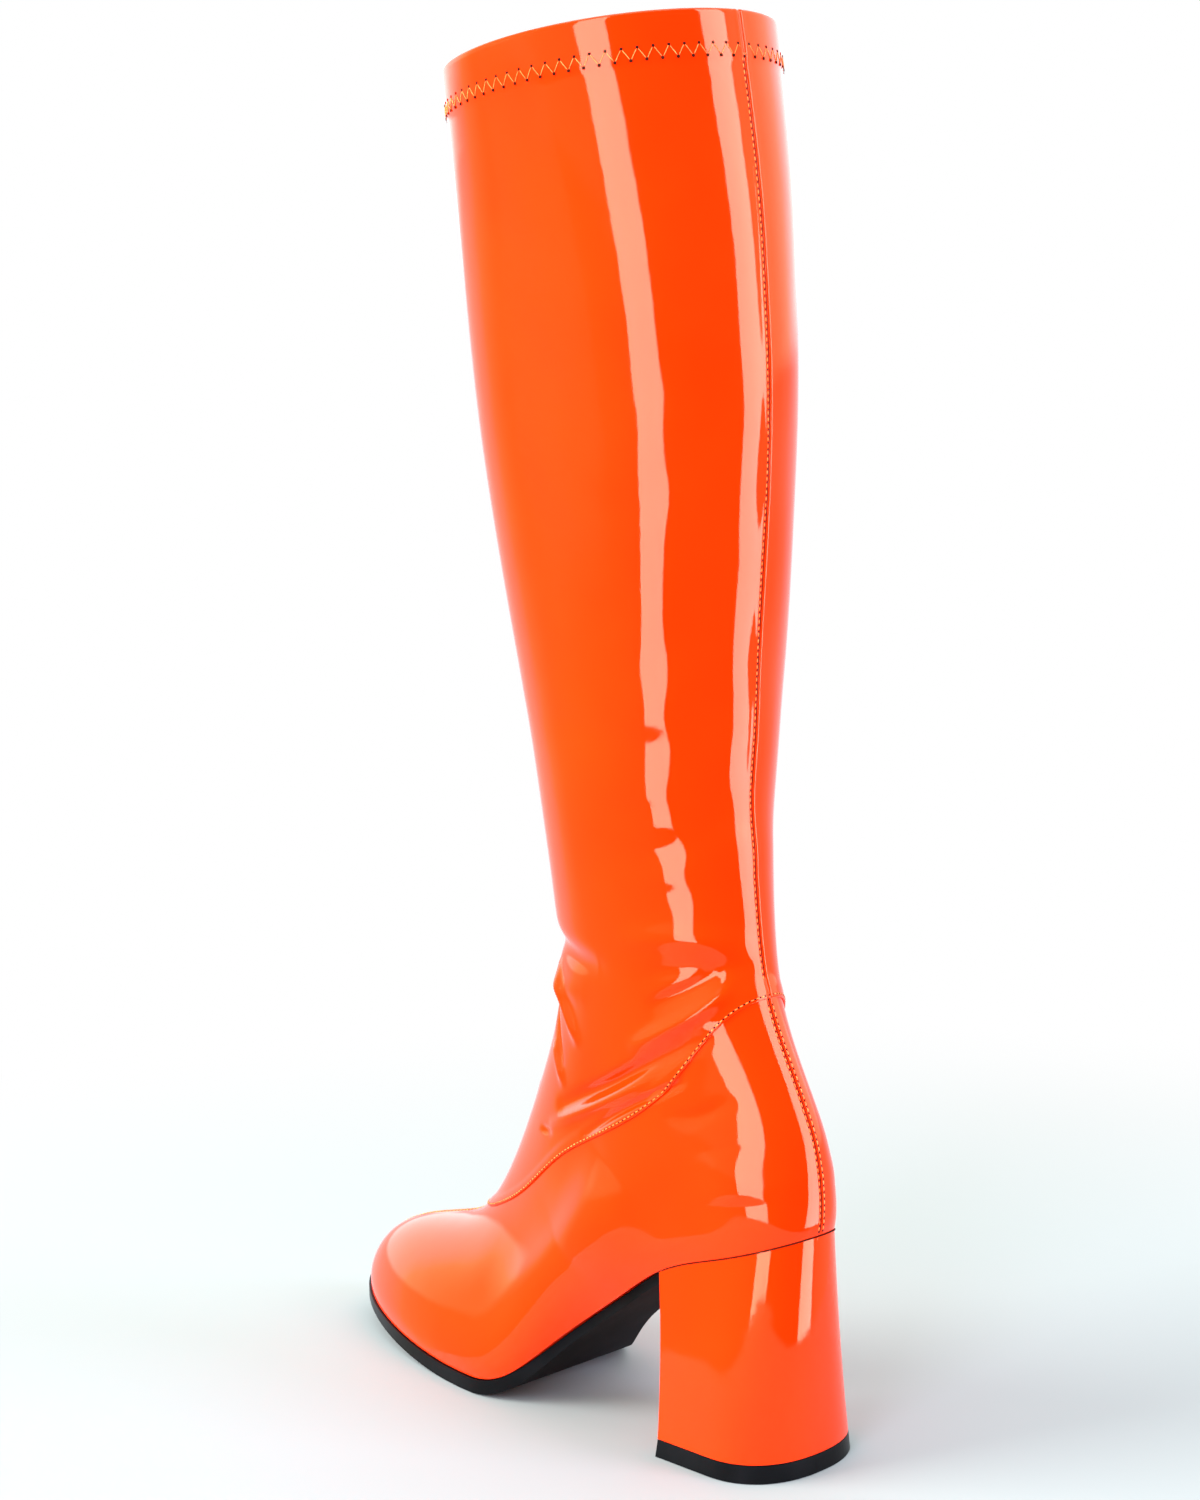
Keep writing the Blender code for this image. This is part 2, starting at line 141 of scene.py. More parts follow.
# Loops of the shaft, from the ankle to the topline. Rise is a share of the shaft's rise.
# Back is how far the back line lies behind the ankle's, as a share of the collar's depth.
# Depth and width say how far the loop has grown from the ankle's size to the collar's.
ShaftRow = namedtuple("ShaftRow", "rise back depth width")
SHAFT = (
    ShaftRow(0.000, 0.000, 0.00, 0.00),
    ShaftRow(0.077, -0.013, 0.01, 0.13),
    ShaftRow(0.165, -0.009, 0.11, 0.28),
    ShaftRow(0.270, 0.009, 0.35, 0.43),
    ShaftRow(0.410, 0.034, 0.75, 0.55),
    ShaftRow(0.550, 0.050, 1.08, 0.65),
    ShaftRow(0.690, 0.040, 1.20, 0.76),
    ShaftRow(0.835, 0.004, 1.15, 0.89),
    ShaftRow(1.000, -0.065, 1.00, 1.00),
)
TOPLINE = len(FOOT) + len(SHAFT) - 1

# Seam between foot and shaft, as (share of the way from back to front, level)
SEAM = (
    (0.00, 10.45), (0.14, 10.32), (0.27, 9.72), (0.37, 8.95), (0.50, 8.52),
    (0.63, 8.28), (0.73, 7.80), (0.82, 7.34), (0.93, 7.13), (1.00, 7.10),
)

SIZES = "front_y front_z back_y back_z rear dip fore follow inset square_back"
Loop = namedtuple("Loop", SIZES)


def spline(knots, values, at, start_slope=None):
    """Smooth curve through the values, with natural ends unless a start slope is given."""
    knots = np.asarray(knots, float)
    values = np.asarray(values, float)
    count = len(knots)
    step = np.diff(knots)
    system = np.eye(count)
    target = np.zeros_like(values)
    for i in range(1, count - 1):
        system[i, i - 1] = step[i - 1]
        system[i, i] = 2 * (step[i - 1] + step[i])
        system[i, i + 1] = step[i]
        after = (values[i + 1] - values[i]) / step[i]
        before = (values[i] - values[i - 1]) / step[i - 1]
        target[i] = 6 * (after - before)
    if start_slope is not None:
        system[0, 0] = 2 * step[0]
        system[0, 1] = step[0]
        target[0] = 6 * ((values[1] - values[0]) / step[0] - start_slope)
    bend = np.linalg.solve(system, target)
    at = np.asarray(at, float)
    k = np.clip(np.searchsorted(knots, at, side="right") - 1, 0, count - 2)
    width = step[k]
    low = (knots[k + 1] - at) / width
    high = (at - knots[k]) / width
    if values.ndim > 1:
        width, low, high = width[..., None], low[..., None], high[..., None]
    line = low * values[k] + high * values[k + 1]
    curve = (low**3 - low) * bend[k] + (high**3 - high) * bend[k + 1]
    return line + curve * width**2 / 6


def reach_of(y):
    """Share of the foot's length from the back of the heel towards the toe."""
    return (HEEL_BACK - np.asarray(y, float)) / FOOT_LENGTH


def place_of(reach):
    """The y of a reach."""
    return HEEL_BACK - np.asarray(reach, float) * FOOT_LENGTH


def profile(y):
    """Height of the feather line above the floor."""
    reach = reach_of(y)
    reaches, rises = np.array(PROFILE[::-1]).T
    climb = spline(-reaches, rises, -np.minimum(reach, TREAD_START), start_slope=0.0)
    spring = np.clip((reach - TREAD_END) / (1 - TREAD_END), 0, None) ** SPRING_CURVE
    return TREAD_THICKNESS + (SEAT_HEIGHT - TREAD_THICKNESS) * climb + TOE_SPRING * spring


def mix(low, high, share):
    """Straight blend from low to high."""
    return low + (high - low) * share


def foot_loop(row):
    """Sizes of a loop of the foot."""
    toe_y = HEEL_BACK - FOOT_LENGTH
    toe_z = float(profile(toe_y))
    ankle_back = HEEL_BACK - ANKLE_SET
    ankle_z = SEAT_HEIGHT + ANKLE_RISE
    seat = mix(SEAT_WIDTH, ANKLE_WIDTH, row.back_rise)
    ball = mix(BALL_WIDTH, ANKLE_WIDTH, row.back_rise)
    return Loop(
        mix(ankle_back - ANKLE_DEPTH, toe_y, row.front_reach),
        mix(toe_z, ankle_z - FRONT_DROP, row.front_rise),
        mix(HEEL_BACK, ankle_back, row.back_reach),
        mix(SEAT_HEIGHT, ankle_z, row.back_rise),
        seat * row.rear,
        seat * row.dip,
        ball * row.fore,
        row.follow,
        row.inset * TOE_INSET,
        row.square_back,
    )


def shaft_loop(row):
    """Sizes of a loop of the shaft."""
    back_y = HEEL_BACK - ANKLE_SET + row.back * COLLAR_DEPTH
    back_z = SEAT_HEIGHT + ANKLE_RISE + SHAFT_RISE * row.rise
    depth = mix(ANKLE_DEPTH, COLLAR_DEPTH, row.depth)
    half = mix(ANKLE_WIDTH, COLLAR_WIDTH, row.width) / 2
    return Loop(back_y - depth, back_z - FRONT_DROP, back_y, back_z, half, 0, half, 0, 0, 0)


LOOPS = np.array([foot_loop(row) for row in FOOT] + [shaft_loop(row) for row in SHAFT])


def fullness(loop, s):
    """Half width of a loop at share s of its length, before its ends are rounded."""
    forward = np.clip((s - FORE_START) / (FORE_END - FORE_START), 0, 1)
    forward = forward**3 * (10 - 15 * forward + 6 * forward**2)
    waist = np.exp(-(((s - WAIST_PLACE) / WAIST_SPREAD) ** 2))
    return mix(loop.rear, loop.fore, forward) - loop.dip * waist


def surface(u, v):
    """Outer face of the upper at angle u and level v, as an array of points."""
    u, v = np.broadcast_arrays(np.asarray(u, float), np.asarray(v, float))
    loop = Loop(*np.moveaxis(spline(np.arange(len(LOOPS)), LOOPS, v), -1, 0))
    turn = np.cos(u)
    square = loop.square_back * (1 + turn) / 2
    along = (turn - square * np.cos(3 * u)) / (1 - square)
    aside = (np.sin(u) + square * np.sin(3 * u)) / (1 - square)
    s = (1 - along) / 2
    y = mix(loop.back_y, loop.front_y, s)
    y = y + BALL_SKEW * loop.follow * aside * np.sin(math.pi * s) ** 2
    x = aside * fullness(loop, s) - loop.inset * s**2
    share = (loop.back_y - y) / (loop.back_y - loop.front_y)
    sag = profile(y) - mix(profile(loop.back_y), profile(loop.front_y), share)
    z = mix(loop.back_z, loop.front_z, share) + loop.follow * sag
    return np.stack([x, y, z], axis=-1)


def outward(u, v):
    """Unit normal of the upper's outer face."""
    step = 1e-4
    along = surface(np.add(u, step), v) - surface(np.subtract(u, step), v)
    up = surface(u, np.add(v, step)) - surface(u, np.subtract(v, step))
    normal = np.cross(up, along)
    return normal / np.linalg.norm(normal, axis=-1, keepdims=True)


def seam_level(u):
    """Level of the seam that joins the shaft to the foot."""
    share = np.arccos(np.cos(u)) / math.pi
    return spline(*zip(*SEAM), share, start_slope=0.0)


def feather(u):
    """Plan of the feather line."""
    return surface(u, 0.0)[..., :2]


def offset_feather(u, distance):
    """Feather line moved out by a distance, in plan."""
    u = np.asarray(u, float)
    step = 1e-3
    along = feather(u + step) - feather(u - step)
    outward_plan = np.stack([-along[..., 1], along[..., 0]], axis=-1)
    outward_plan /= np.linalg.norm(outward_plan, axis=-1, keepdims=True)
    return feather(u) + outward_plan * np.broadcast_to(distance, u.shape)[..., None]


def on_profile(flat, rise):
    """Points of a plan laid on the sole's profile, a given distance square above it."""
    y = flat[..., 1:2]
    step = 1e-4
    slope = (profile(y + step) - profile(y - step)) / (2 * step)
    return np.concatenate([flat, profile(y) + rise * np.sqrt(1 + slope**2)], axis=-1)


def ease(share):
    """Smooth step from 0 to 1."""
    share = np.clip(share, 0, 1)
    return share**2 * (3 - 2 * share)


def waist_share(reach, length):
    """0 under the tread, and 1 from a length behind it."""
    return ease((TREAD_START - reach) / length)


def sole_edge(u, tuck):
    """Distance of the sole's edge outside the feather line, tucked in at the waist."""
    return mix(SOLE_EDGE, -tuck, waist_share(reach_of(feather(u)[:, 1]), TUCK_REACH))


def breast_angle(side):
    """Angle of the feather line at the heel's breast, on the outer (1) or inner (-1) side."""
    fine = side * np.linspace(0, math.pi / 2, ANGLE_SAMPLES)
    return float(np.interp(BREAST_REACH, reach_of(feather(fine)[:, 1]), fine))


def footprint(outline, edge):
    """D-shaped plan on the floor, with straight sides and a rounded back."""
    share = (outline[:, 1] - outline[0, 1]) / (HEEL_BACK - outline[0, 1])
    straight = 1 - HEEL_ROUND / HEEL_LENGTH
    turn = np.clip((share - straight) / (1 - straight), 0, 1)
    half = (1 - turn**HEEL_SQUARENESS) ** (1 / HEEL_SQUARENESS)
    x = np.sign(outline[:, 0]) * half * (HEEL_WIDTH / 2 + edge)
    y = (share - 0.5) * (HEEL_LENGTH + 2 * edge)
    return np.stack([x, y], axis=-1)


def to_mesh(name, shape):
    """Mesh of a closed bmesh, with its normals turned outwards."""
    bmesh.ops.recalc_face_normals(shape, faces=shape.faces)
    mesh = bpy.data.meshes.new(name)
    shape.to_mesh(mesh)
    shape.free()
    return mesh


def solid_loft(name, rings):
    """Closed loft of rings whose first and last points are mirror images.

    Each end is filled by strips between the ring's two mirrored halves.
    """
    shape = bmesh.new()
    rows = [[shape.verts.new(point) for point in ring] for ring in rings]
    count = len(rows[0])
    for lower, upper in zip(rows, rows[1:]):
        for i in range(count):
            j = (i + 1) % count
            shape.faces.new((lower[i], upper[i], upper[j], lower[j]))
    last = count - 1
    middle = last // 2
    for row in (rows[0], rows[-1]):
        for i in range(middle - 1):
            shape.faces.new((row[i], row[i + 1], row[last - i - 1], row[last - i]))
        shape.faces.new((row[middle - 1], row[middle], row[middle + 1]))
    return to_mesh(name, shape)


def plate(name, outer_edge, inner_edge, underside, top):
    """Closed plate between two long edges, with one point of each at every station.

    Underside and top are functions that lay points of the plan on the two faces.
    """
    share = np.linspace(0, 1, ACROSS + 1)[None, :, None]
    flat = mix(outer_edge[:, None, :], inner_edge[:, None, :], share)
    shape = bmesh.new()
    lower = [[shape.verts.new(point) for point in row] for row in underside(flat)]
    upper = [[shape.verts.new(point) for point in row] for row in top(flat)]
    rows = len(lower)
    for i in range(rows - 1):
        for j in range(ACROSS):
            for sheet in (lower, upper):
                near, far = sheet[i], sheet[i + 1]
                shape.faces.new((near[j], near[j + 1], far[j + 1], far[j]))
    ring = [(i, 0) for i in range(rows)]
    ring += [(rows - 1, j) for j in range(1, ACROSS + 1)]
    ring += [(i, ACROSS) for i in range(rows - 2, -1, -1)]
    ring += [(0, j) for j in range(ACROSS - 1, 0, -1)]
    for (a, b), (c, d) in zip(ring, ring[1:] + ring[:1]):
        shape.faces.new((upper[a][b], upper[c][d], lower[c][d], lower[a][b]))
    return to_mesh(name, shape)


# Seams and hem of the upper
LAP = 0.0048
LAP_STEP = 0.00075
EDGE_ROUND = 0.00025
EDGE_LIFT = 0.00005
INNER_EDGE_LIFT = 0.00008
SKIN = 0.0008
RIM_BAND = 0.0145
SEAM_DEPTH = 0.00035
SEAM_WIDTH = 0.0006
# Ribbon of painted shade at the bottom of the closed seams: its width, and how far it stands above
# and sinks below the face
SEAM_SHADE_WIDTH = 0.00032
SEAM_SHADE_TOP = 0.00005
SEAM_SHADE_DEPTH = 0.0002
# Bead of painted shade where the heel meets the foot: how far it sinks and its radius
HEEL_SHADE_DEPTH = 0.00025
HEEL_SHADE_RADIUS = 0.0003

# Thread: how thick it is, how it is laid and how far it stands off the leather
THREAD = 0.00042
STITCH_PITCH = 0.0021
STITCH_SHARE = 0.64
STITCH_LIFT = 0.00005
SEAM_ROW_GAP = 0.0011
ZIGZAG_TOP = 0.0104
ZIGZAG_BOTTOM = 0.0144
ZIGZAG_PITCH = 0.0050
ZIGZAG_END = 0.06
ZIGZAG_LIFT = 0.0001
ZIGZAG_RADIUS = 0.32 * THREAD
HOLE_RADIUS = 0.95 * THREAD
ZIGZAG_HOLE_RADIUS = 1.35 * THREAD
STITCH_SIDES = 6
HOLE_SIDES = 8
# Rings of a stitch: share of its length, share of its radius, and sinking in radii
STITCH_RINGS = (
    (0.00, 0.35, 1.00), (0.16, 0.90, 0.35), (0.50, 1.00, 0.00),
    (0.84, 0.90, 0.35), (1.00, 0.35, 1.00),
)
# Rings of a needle hole's cup of painted shade: share of its radius and rise in radii, and the
# rise of its middle
HOLE_RINGS = ((1.0, -0.35), (0.8, 0.12))
HOLE_MIDDLE = 0.16

# Rounding of the edges of heel, lift, sole and sock
HEEL_EDGE = 0.0009
LIFT_EDGE = 0.0005
TREAD_EDGE = 0.0007
SOCK_EDGE = 0.0006
BEVEL_SEGMENTS = 3
BEVEL_ANGLE = 35
SHARP_ANGLE = 50
# Faces of the sole that look down further than this have the tread's material
TREAD_NORMAL = -0.35

# Density of the visible meshes. The seam columns are distances from the back seam and from
# the vamp's seam in millimetres, and the radii turn them into angles there.
SEAM_COLUMNS = (0.0, 0.2, 0.4, 0.6, 0.9, 1.3, 1.8, 2.4, 3.2, 4.2)
SEAM_RADII = ((0.0, 0.030), (math.pi, 0.024))
COLUMN_SPACING = 0.012
COLUMN_CROWDING = 0.12
SKIN_COLUMNS = 300
FOOT_ROWS = 100
FOOT_LAP_ROWS = 24
ANKLE_ROWS = 110
CALF_ROWS = 56
RIM_ROWS = 25
FOOT_INNER_ROWS = 72
INNER_CALF_ROWS = 14
INNER_ANKLE_ROWS = 64
LINING_COLUMNS = 200
LINING_ROWS = 96
HEEL_COLUMNS = 150
HEEL_ROWS = 40
SOLE_STATIONS = 150

# Levels where the foot's outer skin, its inner skin and the lining begin
FOOT_LEVEL = 0.02
INNER_LEVEL = 0.25
LINING_LEVEL = 0.42
# Small turn in radians that measures the upper's width per radian
ARC_STEP = 0.02

# Folds of the upper: the line they follow as (angle in degrees, level), how wide the fold's
# shoulder is and how high it stands, as shares of the ankle's depth. Troughs are negative.
Fold = namedtuple("Fold", "width height line")
FOLDS = (
    Fold(0.056, -0.03, ((176, 11.75), (145, 11.65), (118, 11.45), (98, 11.3))),
    Fold(0.045, 0.017, ((170, 11.15), (140, 11.1), (112, 10.95))),
    Fold(0.05, 0.014, ((78, 11.62), (52, 11.55), (17, 11.35))),
    Fold(0.045, -0.014, ((70, 11.12), (44, 11.1), (14, 11.0))),
    Fold(0.034, 0.034, ((76, 10.02), (50, 10.36), (28, 10.7))),
    Fold(0.034, -0.022, ((66, 10.66), (48, 10.82), (32, 10.98))),
    Fold(0.032, -0.032, ((114, 9.28), (92, 9.42), (77, 9.58), (46, 9.95))),
    Fold(0.026, 0.02, ((118, 9.02), (96, 9.1), (72, 9.32))),
    Fold(0.018, -0.02, ((98, 8.62), (84, 8.86), (70, 9.02), (57, 9.18))),
    Fold(0.2, 0.036, ((86, 4.6), (84, 6.0), (80, 7.3))),
    Fold(0.11, 0.016, ((40, 4.2), (42, 6.0), (44, 7.4))),
    Fold(0.3, -0.046, ((97, 14.9), (97, 17.2), (96, 19.3))),
    Fold(0.026, 0.031, ((142, 11.35), (126, 10.85), (112, 10.3))),
    Fold(0.022, -0.025, ((150, 10.95), (134, 10.45), (122, 9.95))),
    Fold(0.02, 0.02, ((134, 10.25), (125, 10.0), (117, 9.65))),
    Fold(0.013, -0.014, ((127, 9.02), (123, 8.95), (119, 8.86))),
    Fold(0.07, -0.007, ((118, 14.8), (90, 14.6), (58, 14.2))),
    Fold(0.05, 0.005, ((84, 13.95), (60, 13.7), (44, 13.6))),
    Fold(0.04, -0.017, ((216, 11.6), (196, 11.72), (176, 11.75))),
    Fold(0.04, -0.017, ((168, 10.2), (186, 10.05), (212, 10.1))),
    Fold(0.034, 0.014, ((160, 9.7), (184, 9.5), (206, 9.55))),
    Fold(0.034, -0.017, ((164, 9.05), (184, 8.8), (210, 8.95))),
    Fold(0.04, -0.018, ((236, 9.35), (258, 9.45), (288, 9.8))),
    Fold(0.036, 0.015, ((240, 10.05), (262, 10.25), (300, 10.6))),
    Fold(0.046, -0.014, ((232, 11.3), (262, 11.2), (306, 11.1))),
    Fold(0.05, 0.011, ((226, 11.95), (262, 11.75), (318, 11.5))),
    Fold(0.07, -0.006, ((240, 14.6), (272, 14.3), (302, 14.4))),
    Fold(0.03, -0.01, ((62, 8.55), (52, 8.42), (40, 8.62))),
)
# Share of a fold's length left out of its taper at each end
FOLD_END = 0.06
FOLD_POINTS = 22
# Slow ripples of the shaft: their middle angle, how far they reach to each side, the level
# they start from, their length in levels and their height as a share of the ankle's depth
Ripple = namedtuple("Ripple", "angle reach level length height")
RIPPLES = (
    Ripple(14, 22, 12.0, 2.10, 0.0062),
    Ripple(20, 16, 12.4, 1.25, 0.0032),
    Ripple(346, 20, 12.0, 1.70, 0.0040),
    Ripple(52, 16, 12.0, 1.15, 0.0022),
    Ripple(52, 13, 10.8, 0.74, 0.0014),
    Ripple(300, 24, 11.6, 1.60, 0.0032),
    Ripple(182, 30, 11.6, 1.80, 0.0030),
)
# Level where the ripples end, and over how many levels they come and go
RIPPLE_TOP = 19.4
RIPPLE_START_FADE = 0.8
RIPPLE_END_FADE = 2.5


def fold_points(fold):
    """Points on the upper along a fold."""
    count = len(fold.line)
    track = spline(np.arange(count), fold.line, np.linspace(0, count - 1, FOLD_POINTS))
    return surface(np.radians(track[:, 0]), track[:, 1])


FOLD_LINES = [fold_points(fold) for fold in FOLDS]


def turn_between(u, angle):
    """Degrees between an angle round the loop and another one, with its sign."""
    return (np.degrees(u) - angle + 180) % 360 - 180


def arc_rate(u, v, step=ARC_STEP):
    """Metres along the upper for each radian round it."""
    return np.linalg.norm(surface(u + step, v) - surface(u, v), axis=-1) / step


def travel_along(points):
    """Distance of each point of a line from the line's start."""
    steps = np.linalg.norm(np.diff(points, axis=0), axis=-1)
    return np.concatenate([np.zeros_like(steps[:1]), np.cumsum(steps, axis=0)])


def bell(distance, width):
    """Smooth bump that is 1 at no distance."""
    return np.exp(-((distance / width) ** 2))


def relief(u, v, points):
    """Height of the folds and ripples at points of the upper."""
    height = np.zeros(points.shape[:-1])
    for fold, line in zip(FOLDS, FOLD_LINES):
        width = fold.width * ANKLE_DEPTH
        low = line.min(axis=0) - 3 * width
        high = line.max(axis=0) + 3 * width
        near = np.all((points > low) & (points < high), axis=-1)
        if not near.any():
            continue
        chosen = points[near]
        best = np.full(len(chosen), np.inf)
        place = np.zeros(len(chosen))
        for k in range(FOLD_POINTS - 1):
            start = line[k]
            along = line[k + 1] - start
            part = np.clip((chosen - start) @ along / (along @ along), 0, 1)
            gap = np.linalg.norm(chosen - start - part[:, None] * along, axis=1)
            closer = gap < best
            best = np.where(closer, gap, best)
            place = np.where(closer, (k + part) / (FOLD_POINTS - 1), place)
        taper = np.sin(math.pi * (FOLD_END + (1 - 2 * FOLD_END) * place)) ** 0.7
        height[near] += fold.height * ANKLE_DEPTH * taper * bell(best, width)
    for ripple in RIPPLES:
        side = bell(turn_between(u, ripple.angle), ripple.reach)
        above = v - ripple.level
        fade = ease(above / RIPPLE_START_FADE) * ease((RIPPLE_TOP - v) / RIPPLE_END_FADE)
        wave = np.sin(math.tau * above / ripple.length)
        height += ripple.height * ANKLE_DEPTH * side * fade * wave
    return height


def seam_groove(u, v):
    """Depth of the closed seams that run up the back and along the middle of the vamp."""
    width = arc_rate(u, v, ARC_STEP / 2)
    back = np.abs(np.radians(turn_between(u, 0))) * width
    front = np.abs(np.radians(turn_between(u, 180))) * width
    vamp = np.where(v < seam_level(u), front, 1.0)
    height = np.zeros_like(width)
    for gap in (back, vamp):
        height -= SEAM_DEPTH * bell(gap, SEAM_WIDTH)
        height += 0.35 * SEAM_DEPTH * bell(gap - 2.2 * SEAM_WIDTH, SEAM_WIDTH)
    return height


def wall_point(u, v, offset):
    """Point of the upper at an offset outside its outer face, folds included."""
    u, v = np.broadcast_arrays(np.asarray(u, float), np.asarray(v, float))
    points = surface(u, v)
    height = relief(u, v, points) + seam_groove(u, v) + offset
    return points + outward(u, v) * height[..., None]


def level_down(level, u, distance):
    """Level a distance below another one along the wall, for short distances."""
    step = 0.1
    rate = np.linalg.norm(surface(u, level) - surface(u, level - step), axis=-1) / step
    return level - distance / rate


def dense_columns(count):
    """Angles round a loop, even along the leather, with extra ones at the middle seams."""
    u = np.arange(count) * math.tau / count
    u = u + COLUMN_CROWDING * np.sin(2 * u)
    extra = []
    for middle, radius in SEAM_RADII:
        for millimetres in SEAM_COLUMNS:
            for side in (-1, 1):
                extra.append(middle + side * millimetres * 0.001 / radius)
    extra = np.unique(np.round(np.array(extra) % math.tau, 6))
    apart = np.abs((u[:, None] - extra[None, :] + math.pi) % math.tau - math.pi)
    u = u[apart.min(axis=1) > COLUMN_SPACING]
    return np.sort(np.concatenate([u, extra]))


def add_object(name, data):
    made = bpy.data.objects.new(name, data)
    bpy.context.scene.collection.objects.link(made)
    return made


def show(name, mesh, materials, replaced=()):
    """Object of a mesh, on the root body, that stands for the CAD nodes it replaces."""
    for look in materials:
        mesh.materials.append(look.material)
    mesh.shade_smooth()
    made = add_object(name, mesh)
    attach(made, "root")
    if replaced:
        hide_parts(*replaced)
    return made


def show_faces(name, points, faces, material, replaced=()):
    """Object of points and faces."""
    mesh = bpy.data.meshes.new(name)
    mesh.from_pydata(np.asarray(points).reshape(-1, 3).tolist(), [], faces)
    mesh.update()
    show(name, mesh, [material], replaced)


def show_tube(name, rings, material, replaced=()):
    """Object of a closed tube whose last ring joins its first."""
    count = len(rings[0])
    faces = []
    for i in range(len(rings)):
        low = i * count
        high = (i + 1) % len(rings) * count
        for j in range(count):
            k = (j + 1) % count
            faces.append((low + j, high + j, high + k, low + k))
    show_faces(name, rings, faces, material, replaced)


def show_rounded(name, mesh, materials, node, edge):
    """Object that stands for a CAD node, with edges rounded by a width."""
    made = show(name, mesh, materials, [node])
    bevel = made.modifiers.new("rounded edges", "BEVEL")
    bevel.width = edge
    bevel.segments = BEVEL_SEGMENTS
    bevel.limit_method = "ANGLE"
    bevel.angle_limit = math.radians(BEVEL_ANGLE)
    mesh.set_sharp_from_angle(angle=math.radians(SHARP_ANGLE))


def rows_between(marks, counts):
    """Shares from the first mark to the last, with a number of steps between each two."""
    pieces = [np.linspace(a, b, n + 1)[:-1] for a, b, n in zip(marks, marks[1:], counts)]
    return np.concatenate([*pieces, marks[-1:]])


def make_foot(material):
    """Skin of the foot: its turned-in margin, outer face up to the lap, and inner face."""
    u = dense_columns(SKIN_COLUMNS)
    seam = seam_level(u)
    top = seam - (level_down(seam, u, LAP) - seam)
    rings = []
    for inset in (-MARGIN, -0.75 * MARGIN, -0.5 * MARGIN, -0.25 * MARGIN, -0.9 * EDGE_ROUND):
        rings.append(on_profile(offset_feather(u, inset), 0.0))
    below, lap = np.linspace(0, 0.9, FOOT_ROWS), np.linspace(0.905, 1, FOOT_LAP_ROWS)
    for share in (*below, *lap):
        rings.append(wall_point(u, mix(FOOT_LEVEL, top, share), 0.0))
    for share in np.linspace(1, 0, FOOT_INNER_ROWS):
        rings.append(wall_point(u, mix(INNER_LEVEL, top, share), -SKIN))
    for inset in (-2.2 * SKIN, -0.5 * MARGIN, -MARGIN):
        rings.append(on_profile(offset_feather(u, inset), SKIN))
    show_tube("patent_foot", rings, material)


def shaft_offset(rise, drop):
    """Offset of the shaft's face a distance above its lower edge and below its rim."""
    lap = (LAP_STEP - SEAM_STEP) * (1 - ease((rise - 0.6 * LAP) / LAP))
    hem = HEM_STEP * (1 - ease((drop - 0.85 * RIM_BAND) / (0.3 * RIM_BAND)))
    return SEAM_STEP + lap + hem


def make_shaft(material):
    """Skin of the shaft: lapped edge, outer face, rounded rim, hem and inner face."""
    u = dense_columns(SKIN_COLUMNS)
    seam = seam_level(u)
    rim = np.full_like(u, TOPLINE)
    rings = [
        wall_point(u, seam, EDGE_LIFT),
        wall_point(u, seam, LAP_STEP - EDGE_ROUND),
        wall_point(u, level_down(seam, u, -EDGE_ROUND), LAP_STEP),
    ]
    start = level_down(seam, u, -2.4 * EDGE_ROUND)
    counts = (RIM_ROWS, ANKLE_ROWS, CALF_ROWS, RIM_ROWS)
    levels = [mix(start, rim, share) for share in rows_between((0, 0.06, 0.35, 0.95, 1), counts)]
    travel = travel_along(np.array([surface(u, level) for level in levels]))
    for level, rise in zip(levels, travel):
        rings.append(wall_point(u, level, shaft_offset(rise, travel[-1] - rise)))
    crest = shaft_offset(travel[-1], 0.0)
    round_rim = (WALL + crest) / 2
    up = surface(u, rim) - surface(u, rim - 0.05)
    up /= np.linalg.norm(up, axis=-1, keepdims=True)
    for turn in math.pi * np.linspace(0.15, 1, 7):
        offset = crest - round_rim * (1 - np.cos(turn))
        rise = 0.8 * round_rim * np.sin(turn)
        rings.append(wall_point(u, rim, offset) + up * rise[:, None])
    low = level_down(seam, u, -1.3 * LAP)
    band = level_down(rim, u, RIM_BAND)
    for share in np.linspace(0, 1, 6)[1:]:
        rings.append(wall_point(u, mix(rim, band, share), -WALL * mix(1, 0.98, share)))
    for share in rows_between((0, 0.65, 1), (INNER_CALF_ROWS, INNER_ANKLE_ROWS))[1:]:
        rings.append(wall_point(u, mix(band, low, share), SEAM_STEP - SKIN))
    rings.append(wall_point(u, level_down(seam, u, -0.9 * LAP), INNER_EDGE_LIFT))
    show_tube("patent_shaft", rings, material, replaced=["upper"])


def make_lining(material):
    u = np.arange(LINING_COLUMNS) * math.tau / LINING_COLUMNS
    top = level_down(np.full_like(u, TOPLINE), u, 0.94 * RIM_BAND)
    shares = rows_between((0, 0.62, 1), (LINING_ROWS, LINING_ROWS // 3))
    rings = [wall_point(u, mix(LINING_LEVEL, top, share), -1.25 * SKIN) for share in shares]
    rings += [wall_point(u, mix(LINING_LEVEL, top, share), -WALL) for share in shares[::-1]]
    show_tube("lining", rings, material)


def circle_of(first, second, sides):
    """Unit circle spanned by two directions."""
    turns = [math.tau * k / sides for k in range(sides)]
    return [math.cos(turn) * first + math.sin(turn) * second for turn in turns]


def capped_tube(rings, sides, first):
    """Faces of a tube whose points are numbered from first, with a cap at each end."""
    last = first + (rings - 1) * sides
    caps = [tuple(range(first, first + sides))[::-1], tuple(range(last, last + sides))]
    faces = []
    for low in range(first, last, sides):
        for k in range(sides):
            n = (k + 1) % sides
            faces.append((low + k, low + n, low + sides + n, low + sides + k))
    return faces + caps


